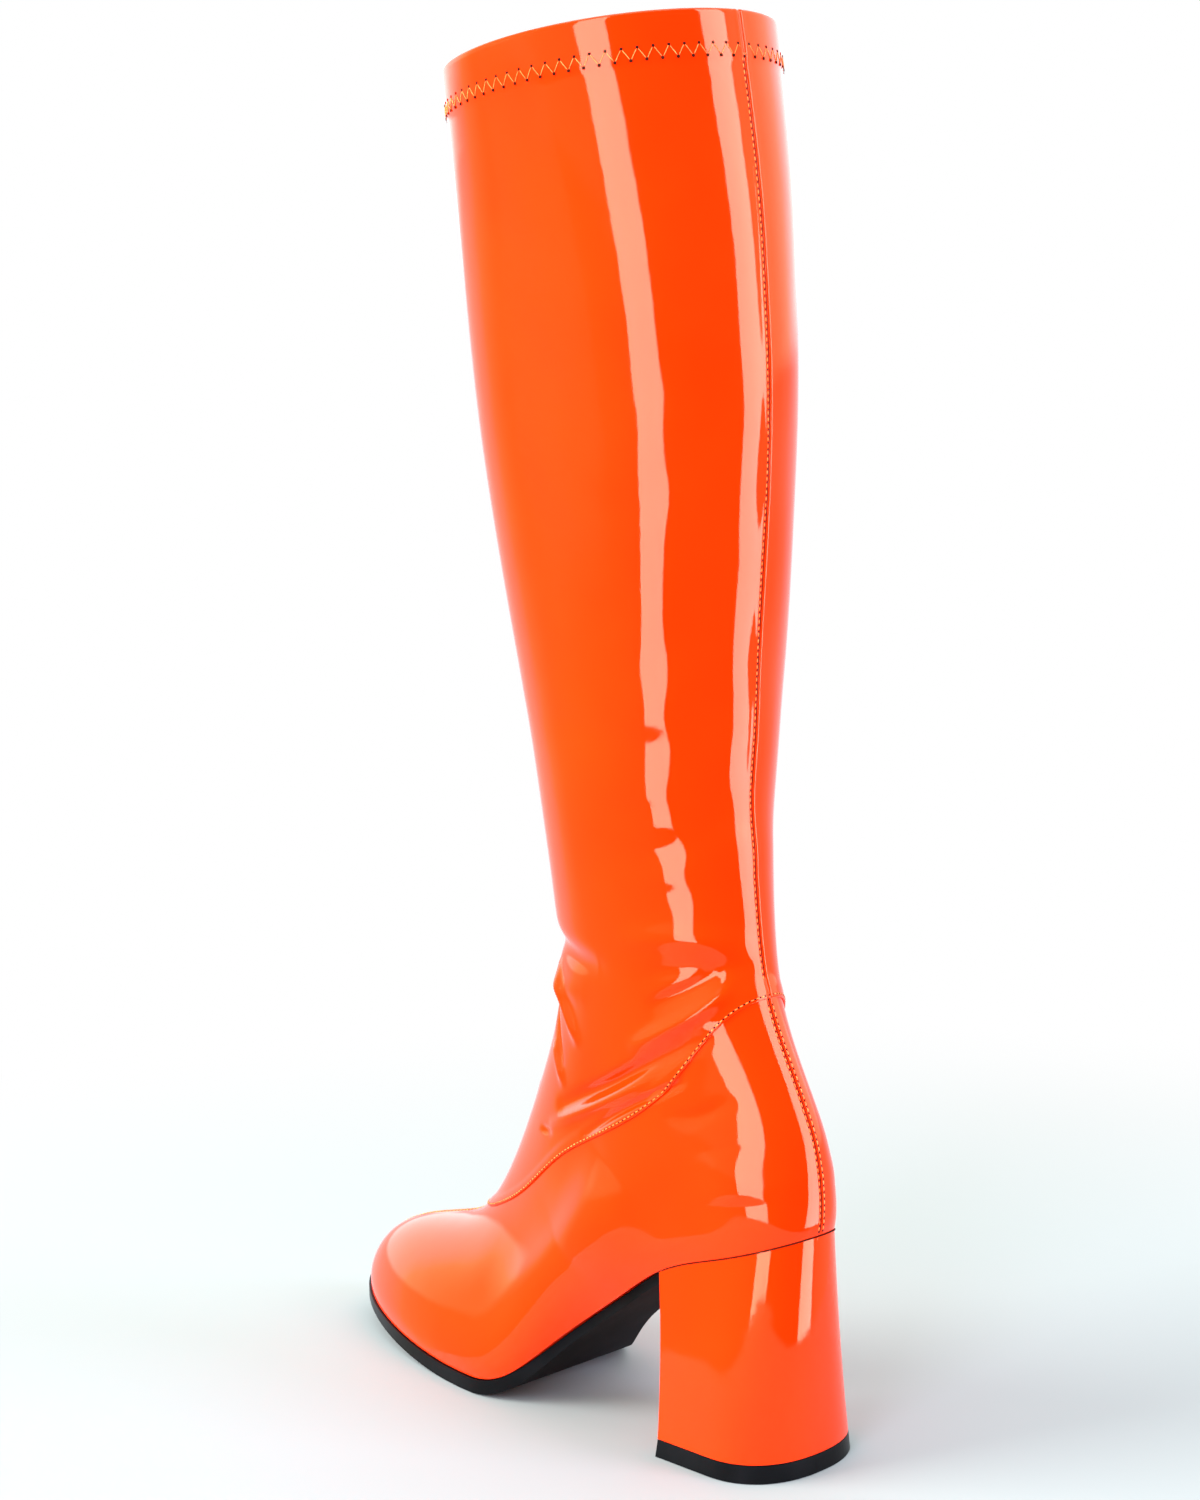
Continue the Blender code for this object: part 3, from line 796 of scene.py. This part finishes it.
def sew(name, ends, outs, radius, material):
    """One piece with a stitch between each pair of ends, domed and sunk at its ends."""
    points, faces = [], []
    for (a, b), out in zip(ends, outs):
        faces += capped_tube(len(STITCH_RINGS), STITCH_SIDES, len(points))
        length = np.linalg.norm(b - a)
        along = (b - a) / length
        circle = circle_of(np.cross(out, along), out, STITCH_SIDES)
        for share, size, drop in STITCH_RINGS:
            centre = a + along * length * share - out * radius * drop
            points += [centre + size * radius * way for way in circle]
    show_faces(name, points, faces, material)


def make_holes(name, centres, outs, radius, material):
    """One piece with a shallow cup at each needle hole, painted dark as the shade in the hole."""
    points, faces = [], []
    for centre, out in zip(centres, outs):
        side = np.cross(out, (0.3, 0.2, 0.9))
        side /= np.linalg.norm(side)
        low = len(points)
        high = low + HOLE_SIDES
        circle = circle_of(side, np.cross(out, side), HOLE_SIDES)
        for size, rise in HOLE_RINGS:
            points += [centre + radius * (size * way + rise * out) for way in circle]
        points.append(centre + radius * HOLE_MIDDLE * out)
        for k in range(HOLE_SIDES):
            n = (k + 1) % HOLE_SIDES
            faces.append((low + k, low + n, high + n, high + k))
            faces.append((high + k, high + n, high + HOLE_SIDES))
        faces.append(tuple(low + k for k in range(HOLE_SIDES))[::-1])
    show_faces(name, points, faces, material)


def even_track(u, v, offset):
    """Points and normals every stitch along a line on the upper."""
    travel = travel_along(wall_point(u, v, offset))
    count = max(2, int(travel[-1] / STITCH_PITCH))
    at = np.linspace(0, travel[-1], count)
    u = np.interp(at, travel, u)
    v = np.interp(at, travel, v)
    return wall_point(u, v, offset), outward(u, v)


def seam_track(middle, side, low, high, count, offset):
    """Track beside a middle seam, to one side of it (1 or -1), between two levels."""
    levels = np.linspace(low, high, count)
    # The step that measures the width lies on the outer side at either seam
    aside = side * SEAM_ROW_GAP / arc_rate(min(middle, math.pi - ARC_STEP), levels)
    return even_track(middle + aside, levels, offset)


def make_stitching(thread, painted_shade):
    """Straight stitches along the seams, and their needle holes with painted shade."""
    fine = np.linspace(0, math.tau, 900)
    above = level_down(seam_level(fine), fine, -SEAM_ROW_GAP)
    back = float(seam_level(0.0))
    front = float(seam_level(math.pi))
    tracks = [
        even_track(fine, above, LAP_STEP + STITCH_LIFT),
        seam_track(0.0, -1, 0.35, back - 0.12, 300, 0.0),
        seam_track(0.0, 1, 0.35, back - 0.12, 300, 0.0),
        seam_track(0.0, 1, back + 0.2, TOPLINE - 0.03, 500, SEAM_STEP),
        seam_track(math.pi, -1, 0.5, front - 0.05, 300, 0.0),
        seam_track(math.pi, 1, 0.5, front - 0.05, 300, 0.0),
    ]
    ends, outs, holes, hole_outs = [], [], [], []
    for points, normals in tracks:
        for i, (a, b) in enumerate(zip(points, points[1:])):
            middle = (a + b) / 2
            ends.append((mix(middle, a, STITCH_SHARE), mix(middle, b, STITCH_SHARE)))
            outs.append((normals[i] + normals[i + 1]) / 2)
        holes += list(points)
        hole_outs += list(normals)
    sew("seam_thread", ends, outs, THREAD / 2, thread)
    make_holes("needle_holes", holes, hole_outs, HOLE_RADIUS, painted_shade)


def make_zigzag(thread, painted_shade):
    """Zigzag that holds the hem, and a needle hole with painted shade at each of its corners."""
    fine = np.linspace(0, math.tau, 721)
    travel = travel_along(surface(fine, TOPLINE))
    turns = int(travel[-1] / ZIGZAG_PITCH)
    u = np.interp(np.linspace(0, travel[-1], 2 * turns + 1), travel, fine)
    drop = np.where(np.arange(len(u)) % 2 == 0, ZIGZAG_BOTTOM, ZIGZAG_TOP)
    level = level_down(np.full_like(u, TOPLINE), u, drop)
    points = wall_point(u, level, SEAM_STEP + HEM_STEP + ZIGZAG_LIFT)
    outs = outward(u, level)
    shares = (ZIGZAG_END, 1 - ZIGZAG_END)
    ends = [[mix(a, b, share) for share in shares] for a, b in zip(points, points[1:])]
    middles = [(a + b) / 2 for a, b in zip(outs, outs[1:])]
    sew("hem_thread", ends, middles, ZIGZAG_RADIUS, thread)
    make_holes("hem_holes", points[:-1], outs[:-1], ZIGZAG_HOLE_RADIUS, painted_shade)


def make_seam_shade_line(painted_shade):
    """Thin ribbon of painted shade at the bottom of the closed seams."""
    points, faces = [], []
    tracks = (
        (0.0, np.linspace(0.2, TOPLINE - 0.05, 420), 0.6),
        (math.pi, np.linspace(0.2, float(seam_level(math.pi)) - 0.02, 160), 0.5),
    )
    top, low = SEAM_SHADE_TOP, -SEAM_SHADE_DEPTH
    corners = ((-1, top), (-1, low), (1, low), (1, top))
    for middle, levels, share in tracks:
        half = share * SEAM_SHADE_WIDTH / arc_rate(middle, levels)
        faces += capped_tube(len(levels), len(corners), len(points))
        above = np.where(levels > seam_level(middle) + 0.01, SEAM_STEP, 0.0)
        edges = [wall_point(middle + side * half, levels, above + rise) for side, rise in corners]
        for row in zip(*edges):
            points += list(row)
    show_faces("seam_shade_line", points, faces, painted_shade)


def heel_outline():
    """Plan of the heel's top at the visible density."""
    return feather(np.linspace(breast_angle(-1), breast_angle(1), HEEL_COLUMNS))


def make_heel_join_shade(painted_shade):
    """Thin line of painted shade where the covered heel meets the foot."""
    edge = on_profile(heel_outline(), -HEEL_SHADE_DEPTH)[1:-1]
    away = edge - edge.mean(axis=0)
    away[:, 2] = 0
    away /= np.linalg.norm(away, axis=1)[:, None]
    ends = list(zip(edge, edge[1:]))
    sew("heel_join_shade", ends, away[:-1], HEEL_SHADE_RADIUS, painted_shade)


def make_heel(material):
    outline = heel_outline()
    top = on_profile(outline, -GAP)
    bottom = np.full_like(top, TOP_PIECE_THICKNESS + GAP)
    bottom[:, :2] = footprint(outline, -TOP_PIECE_DRAFT)
    rings = []
    for share in np.linspace(0, 1, HEEL_ROWS + 1):
        ring = mix(bottom, top, share)
        hollow = 4 * share * (1 - share) * HEEL_HOLLOW
        ring[:, :2] *= 1 - hollow / (HEEL_WIDTH / 2)
        rings.append(ring)
    mesh = solid_loft("covered_heel", rings)
    show_rounded("covered_heel", mesh, [material], "heel_block", HEEL_EDGE)


def make_lift(material):
    outline = heel_outline()
    rings = []
    for height, edge in ((0.0, 0.0), (TOP_PIECE_THICKNESS, -TOP_PIECE_DRAFT)):
        plan = footprint(outline, edge)
        rings.append(np.concatenate([plan, np.full((len(plan), 1), height)], axis=1))
    mesh = solid_loft("heel_lift", rings)
    show_rounded("heel_lift", mesh, [material], "top_piece", LIFT_EDGE)


def side_angles(first):
    """Angles of one side from a first one to the tip of the toe."""
    side = 1 if first > 0 else -1
    return mix(first, side * (math.pi - TIP_ANGLE / 2), np.linspace(0, 1, SOLE_STATIONS))


def make_sole(material, under):
    """Sole from the toe to the heel's breast, with the tread's material underneath."""
    outer = side_angles(breast_angle(1))
    inner = side_angles(breast_angle(-1))
    outer_edge = offset_feather(outer, sole_edge(outer, WAIST_TUCK_OUTER))
    inner_edge = offset_feather(inner, sole_edge(inner, WAIST_TUCK_INNER))
    outer_edge[0, 1] = inner_edge[0, 1] = float(place_of(BREAST_REACH)) - GAP

    def underside(flat):
        reach = reach_of(flat[..., 1:2])
        thickness = mix(TREAD_THICKNESS, SHANK_THICKNESS, waist_share(reach, TUCK_REACH))
        toe = ease((reach - TREAD_END) / (1 - TREAD_END))
        return on_profile(flat, mix(-thickness, -TOE_THICKNESS, toe))

    def top(flat):
        return on_profile(flat, -GAP)

    mesh = plate("moulded_sole", outer_edge, inner_edge, underside, top)
    show_rounded("moulded_sole", mesh, [material, under], "outsole", TREAD_EDGE)
    for face in mesh.polygons:
        face.material_index = int(face.normal.z < TREAD_NORMAL)


def make_sock(material):
    inset = -(WALL + INSOLE_CLEARANCE)
    low = WALL + INSOLE_GAP
    mesh = plate(
        "sock_lining",
        offset_feather(side_angles(TIP_ANGLE), inset),
        offset_feather(side_angles(-TIP_ANGLE), inset),
        lambda flat: on_profile(flat, low),
        lambda flat: on_profile(flat, low + INSOLE_THICKNESS),
    )
    show_rounded("sock_lining", mesh, [material], "insole", SOCK_EDGE)


class Nodes:
    """A node tree, built one node at a time."""

    def __init__(self, tree):
        self.tree = tree

    def add(self, kind, **values):
        """New node with values for its properties and sockets."""
        node = self.tree.nodes.new(kind)
        for key, value in values.items():
            if hasattr(node, key):
                setattr(node, key, value)
            else:
                node.inputs[key.replace("_", " ")].default_value = value
        return node

    def link(self, start, end):
        self.tree.links.new(start, end)

    def remap(self, value, low, high, start, end, kind="SMOOTHSTEP"):
        """Value carried from one range to another."""
        node = self.add("ShaderNodeMapRange", interpolation_type=kind, From_Min=low, From_Max=high)
        node.inputs["To Min"].default_value = start
        node.inputs["To Max"].default_value = end
        self.link(value, node.inputs["Value"])
        return node.outputs["Result"]

    def calculate(self, operation, first, second=0.0):
        """Result of a Math node on numbers or sockets."""
        node = self.add("ShaderNodeMath", operation=operation)
        for socket, value in zip(node.inputs, (first, second)):
            if isinstance(value, (int, float)):
                socket.default_value = value
            else:
                self.link(value, socket)
        return node.outputs[0]


class Surface(Nodes):
    """A procedural material whose base colour wanders between two tones."""

    def __init__(self, name, scale, detail, deep, bright, between=(0.3, 0.7)):
        self.material = bpy.data.materials.new(name)
        self.material.use_nodes = True
        super().__init__(self.material.node_tree)
        self.shader = self.tree.nodes["Principled BSDF"]
        self.place = self.add("ShaderNodeTexCoord").outputs["Object"]
        ramp = self.add("ShaderNodeValToRGB")
        stops = ramp.color_ramp.elements
        stops[0].position, stops[1].position = between
        stops[0].color = (*deep, 1)
        stops[1].color = (*bright, 1)
        self.link(self.noise(scale, detail), ramp.inputs["Fac"])
        self.link(ramp.outputs["Color"], self.shader.inputs["Base Color"])

    def set(self, **values):
        """Constants on the shader's own sockets."""
        for key, value in values.items():
            self.shader.inputs[key.replace("_", " ")].default_value = value

    def noise(self, scale, detail, stretch=None):
        node = self.add("ShaderNodeTexNoise", Scale=scale, Detail=detail)
        source = self.place
        if stretch:
            mapping = self.add("ShaderNodeMapping", Scale=stretch)
            self.link(source, mapping.inputs["Vector"])
            source = mapping.outputs["Vector"]
        self.link(source, node.inputs["Vector"])
        return node.outputs["Fac"]

    def wave(self, direction, **values):
        node = self.add("ShaderNodeTexWave", bands_direction=direction, **values)
        self.link(self.place, node.inputs["Vector"])
        return node.outputs["Fac"]

    def roughness(self, factor, low, high):
        """Roughness that wanders between two values."""
        result = self.remap(factor, 0, 1, low, high, "LINEAR")
        self.link(result, self.shader.inputs["Roughness"])

    def bump(self, factor, strength, distance, before=None):
        """Small relief, on top of another one if it is given."""
        node = self.add("ShaderNodeBump", Strength=strength, Distance=distance)
        self.link(factor, node.inputs["Height"])
        if before:
            self.link(before.outputs["Normal"], node.inputs["Normal"])
        self.link(node.outputs["Normal"], self.shader.inputs["Normal"])
        return node


def patent_material(name, tint):
    look = Surface(name, 14.0, 3.0, DEEP_ORANGE, BRIGHT_ORANGE, (0.35, 0.65))
    look.roughness(look.noise(60.0, 4.0), 0.030, 0.075)
    ripple = look.bump(look.noise(95.0, 1.0), 0.10, 0.0006)
    look.bump(look.noise(1500.0, 2.0), 0.05, 0.00008, before=ripple)
    look.set(Specular_IOR_Level=0.5, IOR=1.5, Specular_Tint=tint)
    return look


DEEP_ORANGE = (1.0, 0.027, 0.0004)
BRIGHT_ORANGE = (1.0, 0.033, 0.0006)
UPPER_TINT = (1.0, 0.84, 0.45, 1.0)
HEEL_TINT = (1.0, 0.90, 0.42, 1.0)
patent = patent_material("orange patent", UPPER_TINT)
heel_patent = patent_material("orange patent heel", HEEL_TINT)

rubber = Surface("black rubber", 40.0, 4.0, (0.0022, 0.0025, 0.0028), (0.0055, 0.006, 0.0066))
rubber.roughness(rubber.noise(160.0, 5.0), 0.24, 0.40)
rubber.bump(rubber.noise(900.0, 3.0, (1, 1, 0.35)), 0.12, 0.0002)
rubber.set(Specular_IOR_Level=0.08)

tread = Surface("matte tread", 60.0, 4.0, (0.004, 0.004, 0.005), (0.011, 0.011, 0.012))
tread.bump(tread.noise(1100.0, 3.0), 0.4, 0.0003)
tread.set(Roughness=0.85, Specular_IOR_Level=0.12)

lining = Surface("woven lining", 300.0, 3.0, (0.55, 0.50, 0.42), (0.70, 0.65, 0.56))
WEAVE = {"Scale": 420.0, "Distortion": 0.6, "Detail": 1.0}
upright = lining.bump(lining.wave("Z", **WEAVE), 0.35, 0.0003)
lining.bump(lining.wave("DIAGONAL", **WEAVE), 0.30, 0.0003, before=upright)
lining.set(Roughness=0.9, Sheen_Weight=0.25, Sheen_Roughness=0.5)

sock = Surface("sock leather", 70.0, 5.0, (0.42, 0.30, 0.19), (0.55, 0.41, 0.27))
grain = sock.add("ShaderNodeTexVoronoi", Scale=900.0)
sock.link(sock.place, grain.inputs["Vector"])
sock.bump(grain.outputs["Distance"], 0.3, 0.0002)
sock.set(Roughness=0.62)

thread = Surface("sewing thread", 900.0, 2.0, (0.62, 0.16, 0.015), (0.95, 0.37, 0.075))
thread.bump(thread.wave("DIAGONAL", Scale=1800.0), 0.4, 0.0001)
thread.set(Roughness=0.55)

# Painted shade: this dark material stands in for the shade in the needle holes, at the bottom of
# the seam grooves and in the join of heel and foot
painted_shade = Surface("seam shadow", 500.0, 2.0, (0.030, 0.004, 0.002), (0.080, 0.009, 0.003))
painted_shade.bump(painted_shade.noise(1200.0, 2.0), 0.2, 0.0001)
painted_shade.set(Roughness=0.8, Specular_IOR_Level=0.08)

make_foot(patent)
make_shaft(patent)
make_lining(lining)
make_stitching(thread, painted_shade)
make_zigzag(thread, painted_shade)
make_seam_shade_line(painted_shade)
make_heel(heel_patent)
make_heel_join_shade(painted_shade)
make_lift(rubber)
make_sole(rubber, tread)
make_sock(sock)

# Camera, from the fit to the photograph
EYE = (0.6911, 0.6223, 0.3807)
VIEW_RIGHT = (-0.71067, 0.70346, -0.00981)
VIEW_UP = (-0.11099, -0.09834, 0.98894)
VIEW_AHEAD = (-0.69471, -0.70390, -0.14796)
FOCAL_PIXELS = 2863
FRAME_HEIGHT = 1500
SENSOR = 36.0
camera_data = bpy.data.cameras.new("camera")
camera_data.sensor_width = SENSOR
camera_data.lens = FOCAL_PIXELS / FRAME_HEIGHT * SENSOR
camera_data.clip_start = 0.01
camera_data.clip_end = 50
camera = add_object("camera", camera_data)
axes = zip(VIEW_RIGHT, VIEW_UP, (-a for a in VIEW_AHEAD), EYE)
camera.matrix_world = Matrix([(*row,) for row in axes] + [(0, 0, 0, 1)])
bpy.context.scene.camera = camera

# Floor: pale round the boot, fading to white between two distances from it. It is in two
# pieces, because the patent reflects only the near ellipse, whose turn is its azimuth.
FLOOR_SIZE = 30.0
FLOOR_SIDES = 96
FLOOR_DROP = 0.0002
WHITE_FROM = 0.20
WHITE_BEYOND = 0.62
NEAR_REACH = 0.38
NEAR_WIDTH = 0.16
NEAR_TURN = 109
pale = Surface("pale floor", 3.0, 2.0, (0.300, 0.333, 0.322), (0.308, 0.341, 0.330))
pale.set(Roughness=0.9, Specular_IOR_Level=0.0)
away = pale.add("ShaderNodeVectorMath", operation="LENGTH")
pale.link(pale.place, away.inputs[0])
fade = pale.remap(away.outputs["Value"], WHITE_FROM, WHITE_BEYOND, 0, 1)
blend = pale.add("ShaderNodeMixShader")
pale.link(fade, blend.inputs["Fac"])
pale.link(pale.shader.outputs["BSDF"], blend.inputs[1])
pale.link(pale.add("ShaderNodeEmission").outputs["Emission"], blend.inputs[2])
pale.link(blend.outputs["Shader"], pale.tree.nodes["Material Output"].inputs["Surface"])


def compass(azimuth):
    """Level direction towards an azimuth in degrees, from the toe's end towards +X."""
    return np.array([math.sin(math.radians(azimuth)), -math.cos(math.radians(azimuth)), 0])


def make_floor(name, points, faces, reflected):
    mesh = bpy.data.meshes.new(name)
    mesh.from_pydata(points.tolist(), [], faces)
    mesh.materials.append(pale.material)
    floor = add_object(name, mesh)
    floor.location.z = -FLOOR_DROP
    floor.visible_glossy = reflected


turns = np.linspace(0, math.tau, FLOOR_SIDES, endpoint=False)[:, None]
long_way = compass(NEAR_TURN)
short_way = compass(NEAR_TURN + 90)
near = NEAR_REACH * np.cos(turns) * long_way - NEAR_WIDTH * np.sin(turns) * short_way
far = near / np.linalg.norm(near, axis=1)[:, None] * FLOOR_SIZE / 2
ring = [(k, (k + 1) % FLOOR_SIDES) for k in range(FLOOR_SIDES)]
ring = [(a, b, b + FLOOR_SIDES, a + FLOOR_SIDES) for a, b in ring]
make_floor("near floor", near, [tuple(reversed(range(FLOOR_SIDES)))], True)
make_floor("far floor", np.concatenate([near, far]), ring, False)

# Studio light
TARGET = Vector((0.0, -0.05, 0.24))
LIGHT_DISTANCE = 2.2
COOL = (1, 1, 1.38)


def span(degrees):
    """Length at the lights' distance that an angle from the level line covers."""
    return LIGHT_DISTANCE * math.tan(math.radians(degrees))


def strip_light(name, azimuth, width, low, high, radiance, colour=(1, 1, 1)):
    """Area light seen from the boot at an azimuth, between two elevations, all in degrees."""
    heading = Vector(compass(azimuth))
    data = bpy.data.lights.new(name, "AREA")
    data.shape = "RECTANGLE"
    data.size = 2 * span(width / 2)
    data.size_y = span(high) - span(low)
    data.energy = radiance * math.pi * data.size * data.size_y
    data.color = colour
    made = add_object(name, data)
    height = (span(high) + span(low)) / 2
    made.location = TARGET + heading * LIGHT_DISTANCE + Vector((0, 0, height))
    made.rotation_euler = (-heading).to_track_quat("-Z", "Y").to_euler()
    made.visible_camera = False
    return made


strip_light("left strip", 110.5, 20, -24, 42, 8.8, COOL)
strip_light("right strip", 202, 23, -30, 42, 8.5, COOL)
strip_light("left fill", 52, 40, -8, 48, 13.0).visible_glossy = False

# Light tent: how bright it is by azimuth, and what is left of that below the horizon
TENT = (
    (0, 2.3), (12, 2.1), (26, 0.95), (60, 0.85), (96, 0.70), (122, 0.10),
    (189, 0.10), (208, 1.5), (226, 2.0), (262, 2.1), (290, 2.4), (360, 2.3),
)
TENT_PEAK = 4.0
BELOW = 0.40
HORIZON_FROM = -0.02
HORIZON_FULL = 0.04
# The tent's top: how bright it is, and the heights where it sets in. A height in the tent
# is the sine of the elevation, here and at the horizon.
OVERHEAD = 2.6
TOP_FROM = 0.76
TOP_FULL = 0.82
# Where the tent is brighter than this, and at its top, its light is cool, and else warm
COOL_FROM = 2.0
COOL_FULL = 2.25
WARM_TONE = (1, 0.92, 0.62, 1)
COOL_TONE = (0.9, 0.95, 1, 1)
world = bpy.data.worlds.new("light tent")
bpy.context.scene.world = world
world.use_nodes = True
world.node_tree.nodes.clear()
sky = Nodes(world.node_tree)
parts = sky.add("ShaderNodeSeparateXYZ")
sky.link(sky.add("ShaderNodeTexCoord").outputs["Generated"], parts.inputs[0])
height = parts.outputs["Z"]
north = sky.calculate("MULTIPLY", parts.outputs["Y"], -1.0)
turn = sky.calculate("ARCTAN2", parts.outputs["X"], north)
turn = sky.calculate("ADD", sky.calculate("DIVIDE", turn, math.tau), 1.0)
ramp = sky.add("ShaderNodeValToRGB")
stops = ramp.color_ramp.elements
for azimuth, level in TENT:
    stop = stops.new(min(azimuth / 360, 0.9999))
    stop.color = (level / TENT_PEAK,) * 3 + (1,)
stops.remove(stops[0])
stops.remove(stops[-1])
sky.link(sky.calculate("FRACT", turn), ramp.inputs["Fac"])
tent = sky.calculate("MULTIPLY", ramp.outputs["Color"], TENT_PEAK)
pale_share = sky.remap(tent, COOL_FROM, COOL_FULL, 0, 1)
fade = sky.remap(height, HORIZON_FROM, HORIZON_FULL, BELOW, 1)
tent = sky.calculate("MULTIPLY", tent, fade)
top_share = sky.remap(height, TOP_FROM, TOP_FULL, 0, 1)
kept = sky.calculate("MULTIPLY", tent, sky.calculate("SUBTRACT", 1.0, top_share))
strength = sky.calculate("ADD", kept, sky.calculate("MULTIPLY", top_share, OVERHEAD))
tone = sky.add("ShaderNodeValToRGB")
tone.color_ramp.elements[0].color = WARM_TONE
tone.color_ramp.elements[1].color = COOL_TONE
sky.link(sky.calculate("MAXIMUM", top_share, pale_share), tone.inputs["Fac"])
room = sky.add("ShaderNodeBackground")
sky.link(tone.outputs["Color"], room.inputs["Color"])
sky.link(strength, room.inputs["Strength"])
# The camera sees plain white behind the floor instead of the tent
seen = sky.add("ShaderNodeBackground", Color=(1, 1, 1, 1), Strength=1.0)
choice = sky.add("ShaderNodeMixShader")
sky.link(sky.add("ShaderNodeLightPath").outputs["Is Camera Ray"], choice.inputs["Fac"])
sky.link(room.outputs[0], choice.inputs[1])
sky.link(seen.outputs[0], choice.inputs[2])
sky.link(choice.outputs[0], sky.add("ShaderNodeOutputWorld").inputs["Surface"])

bpy.context.scene.view_settings.view_transform = "Standard"
bpy.context.scene.view_settings.look = "None"
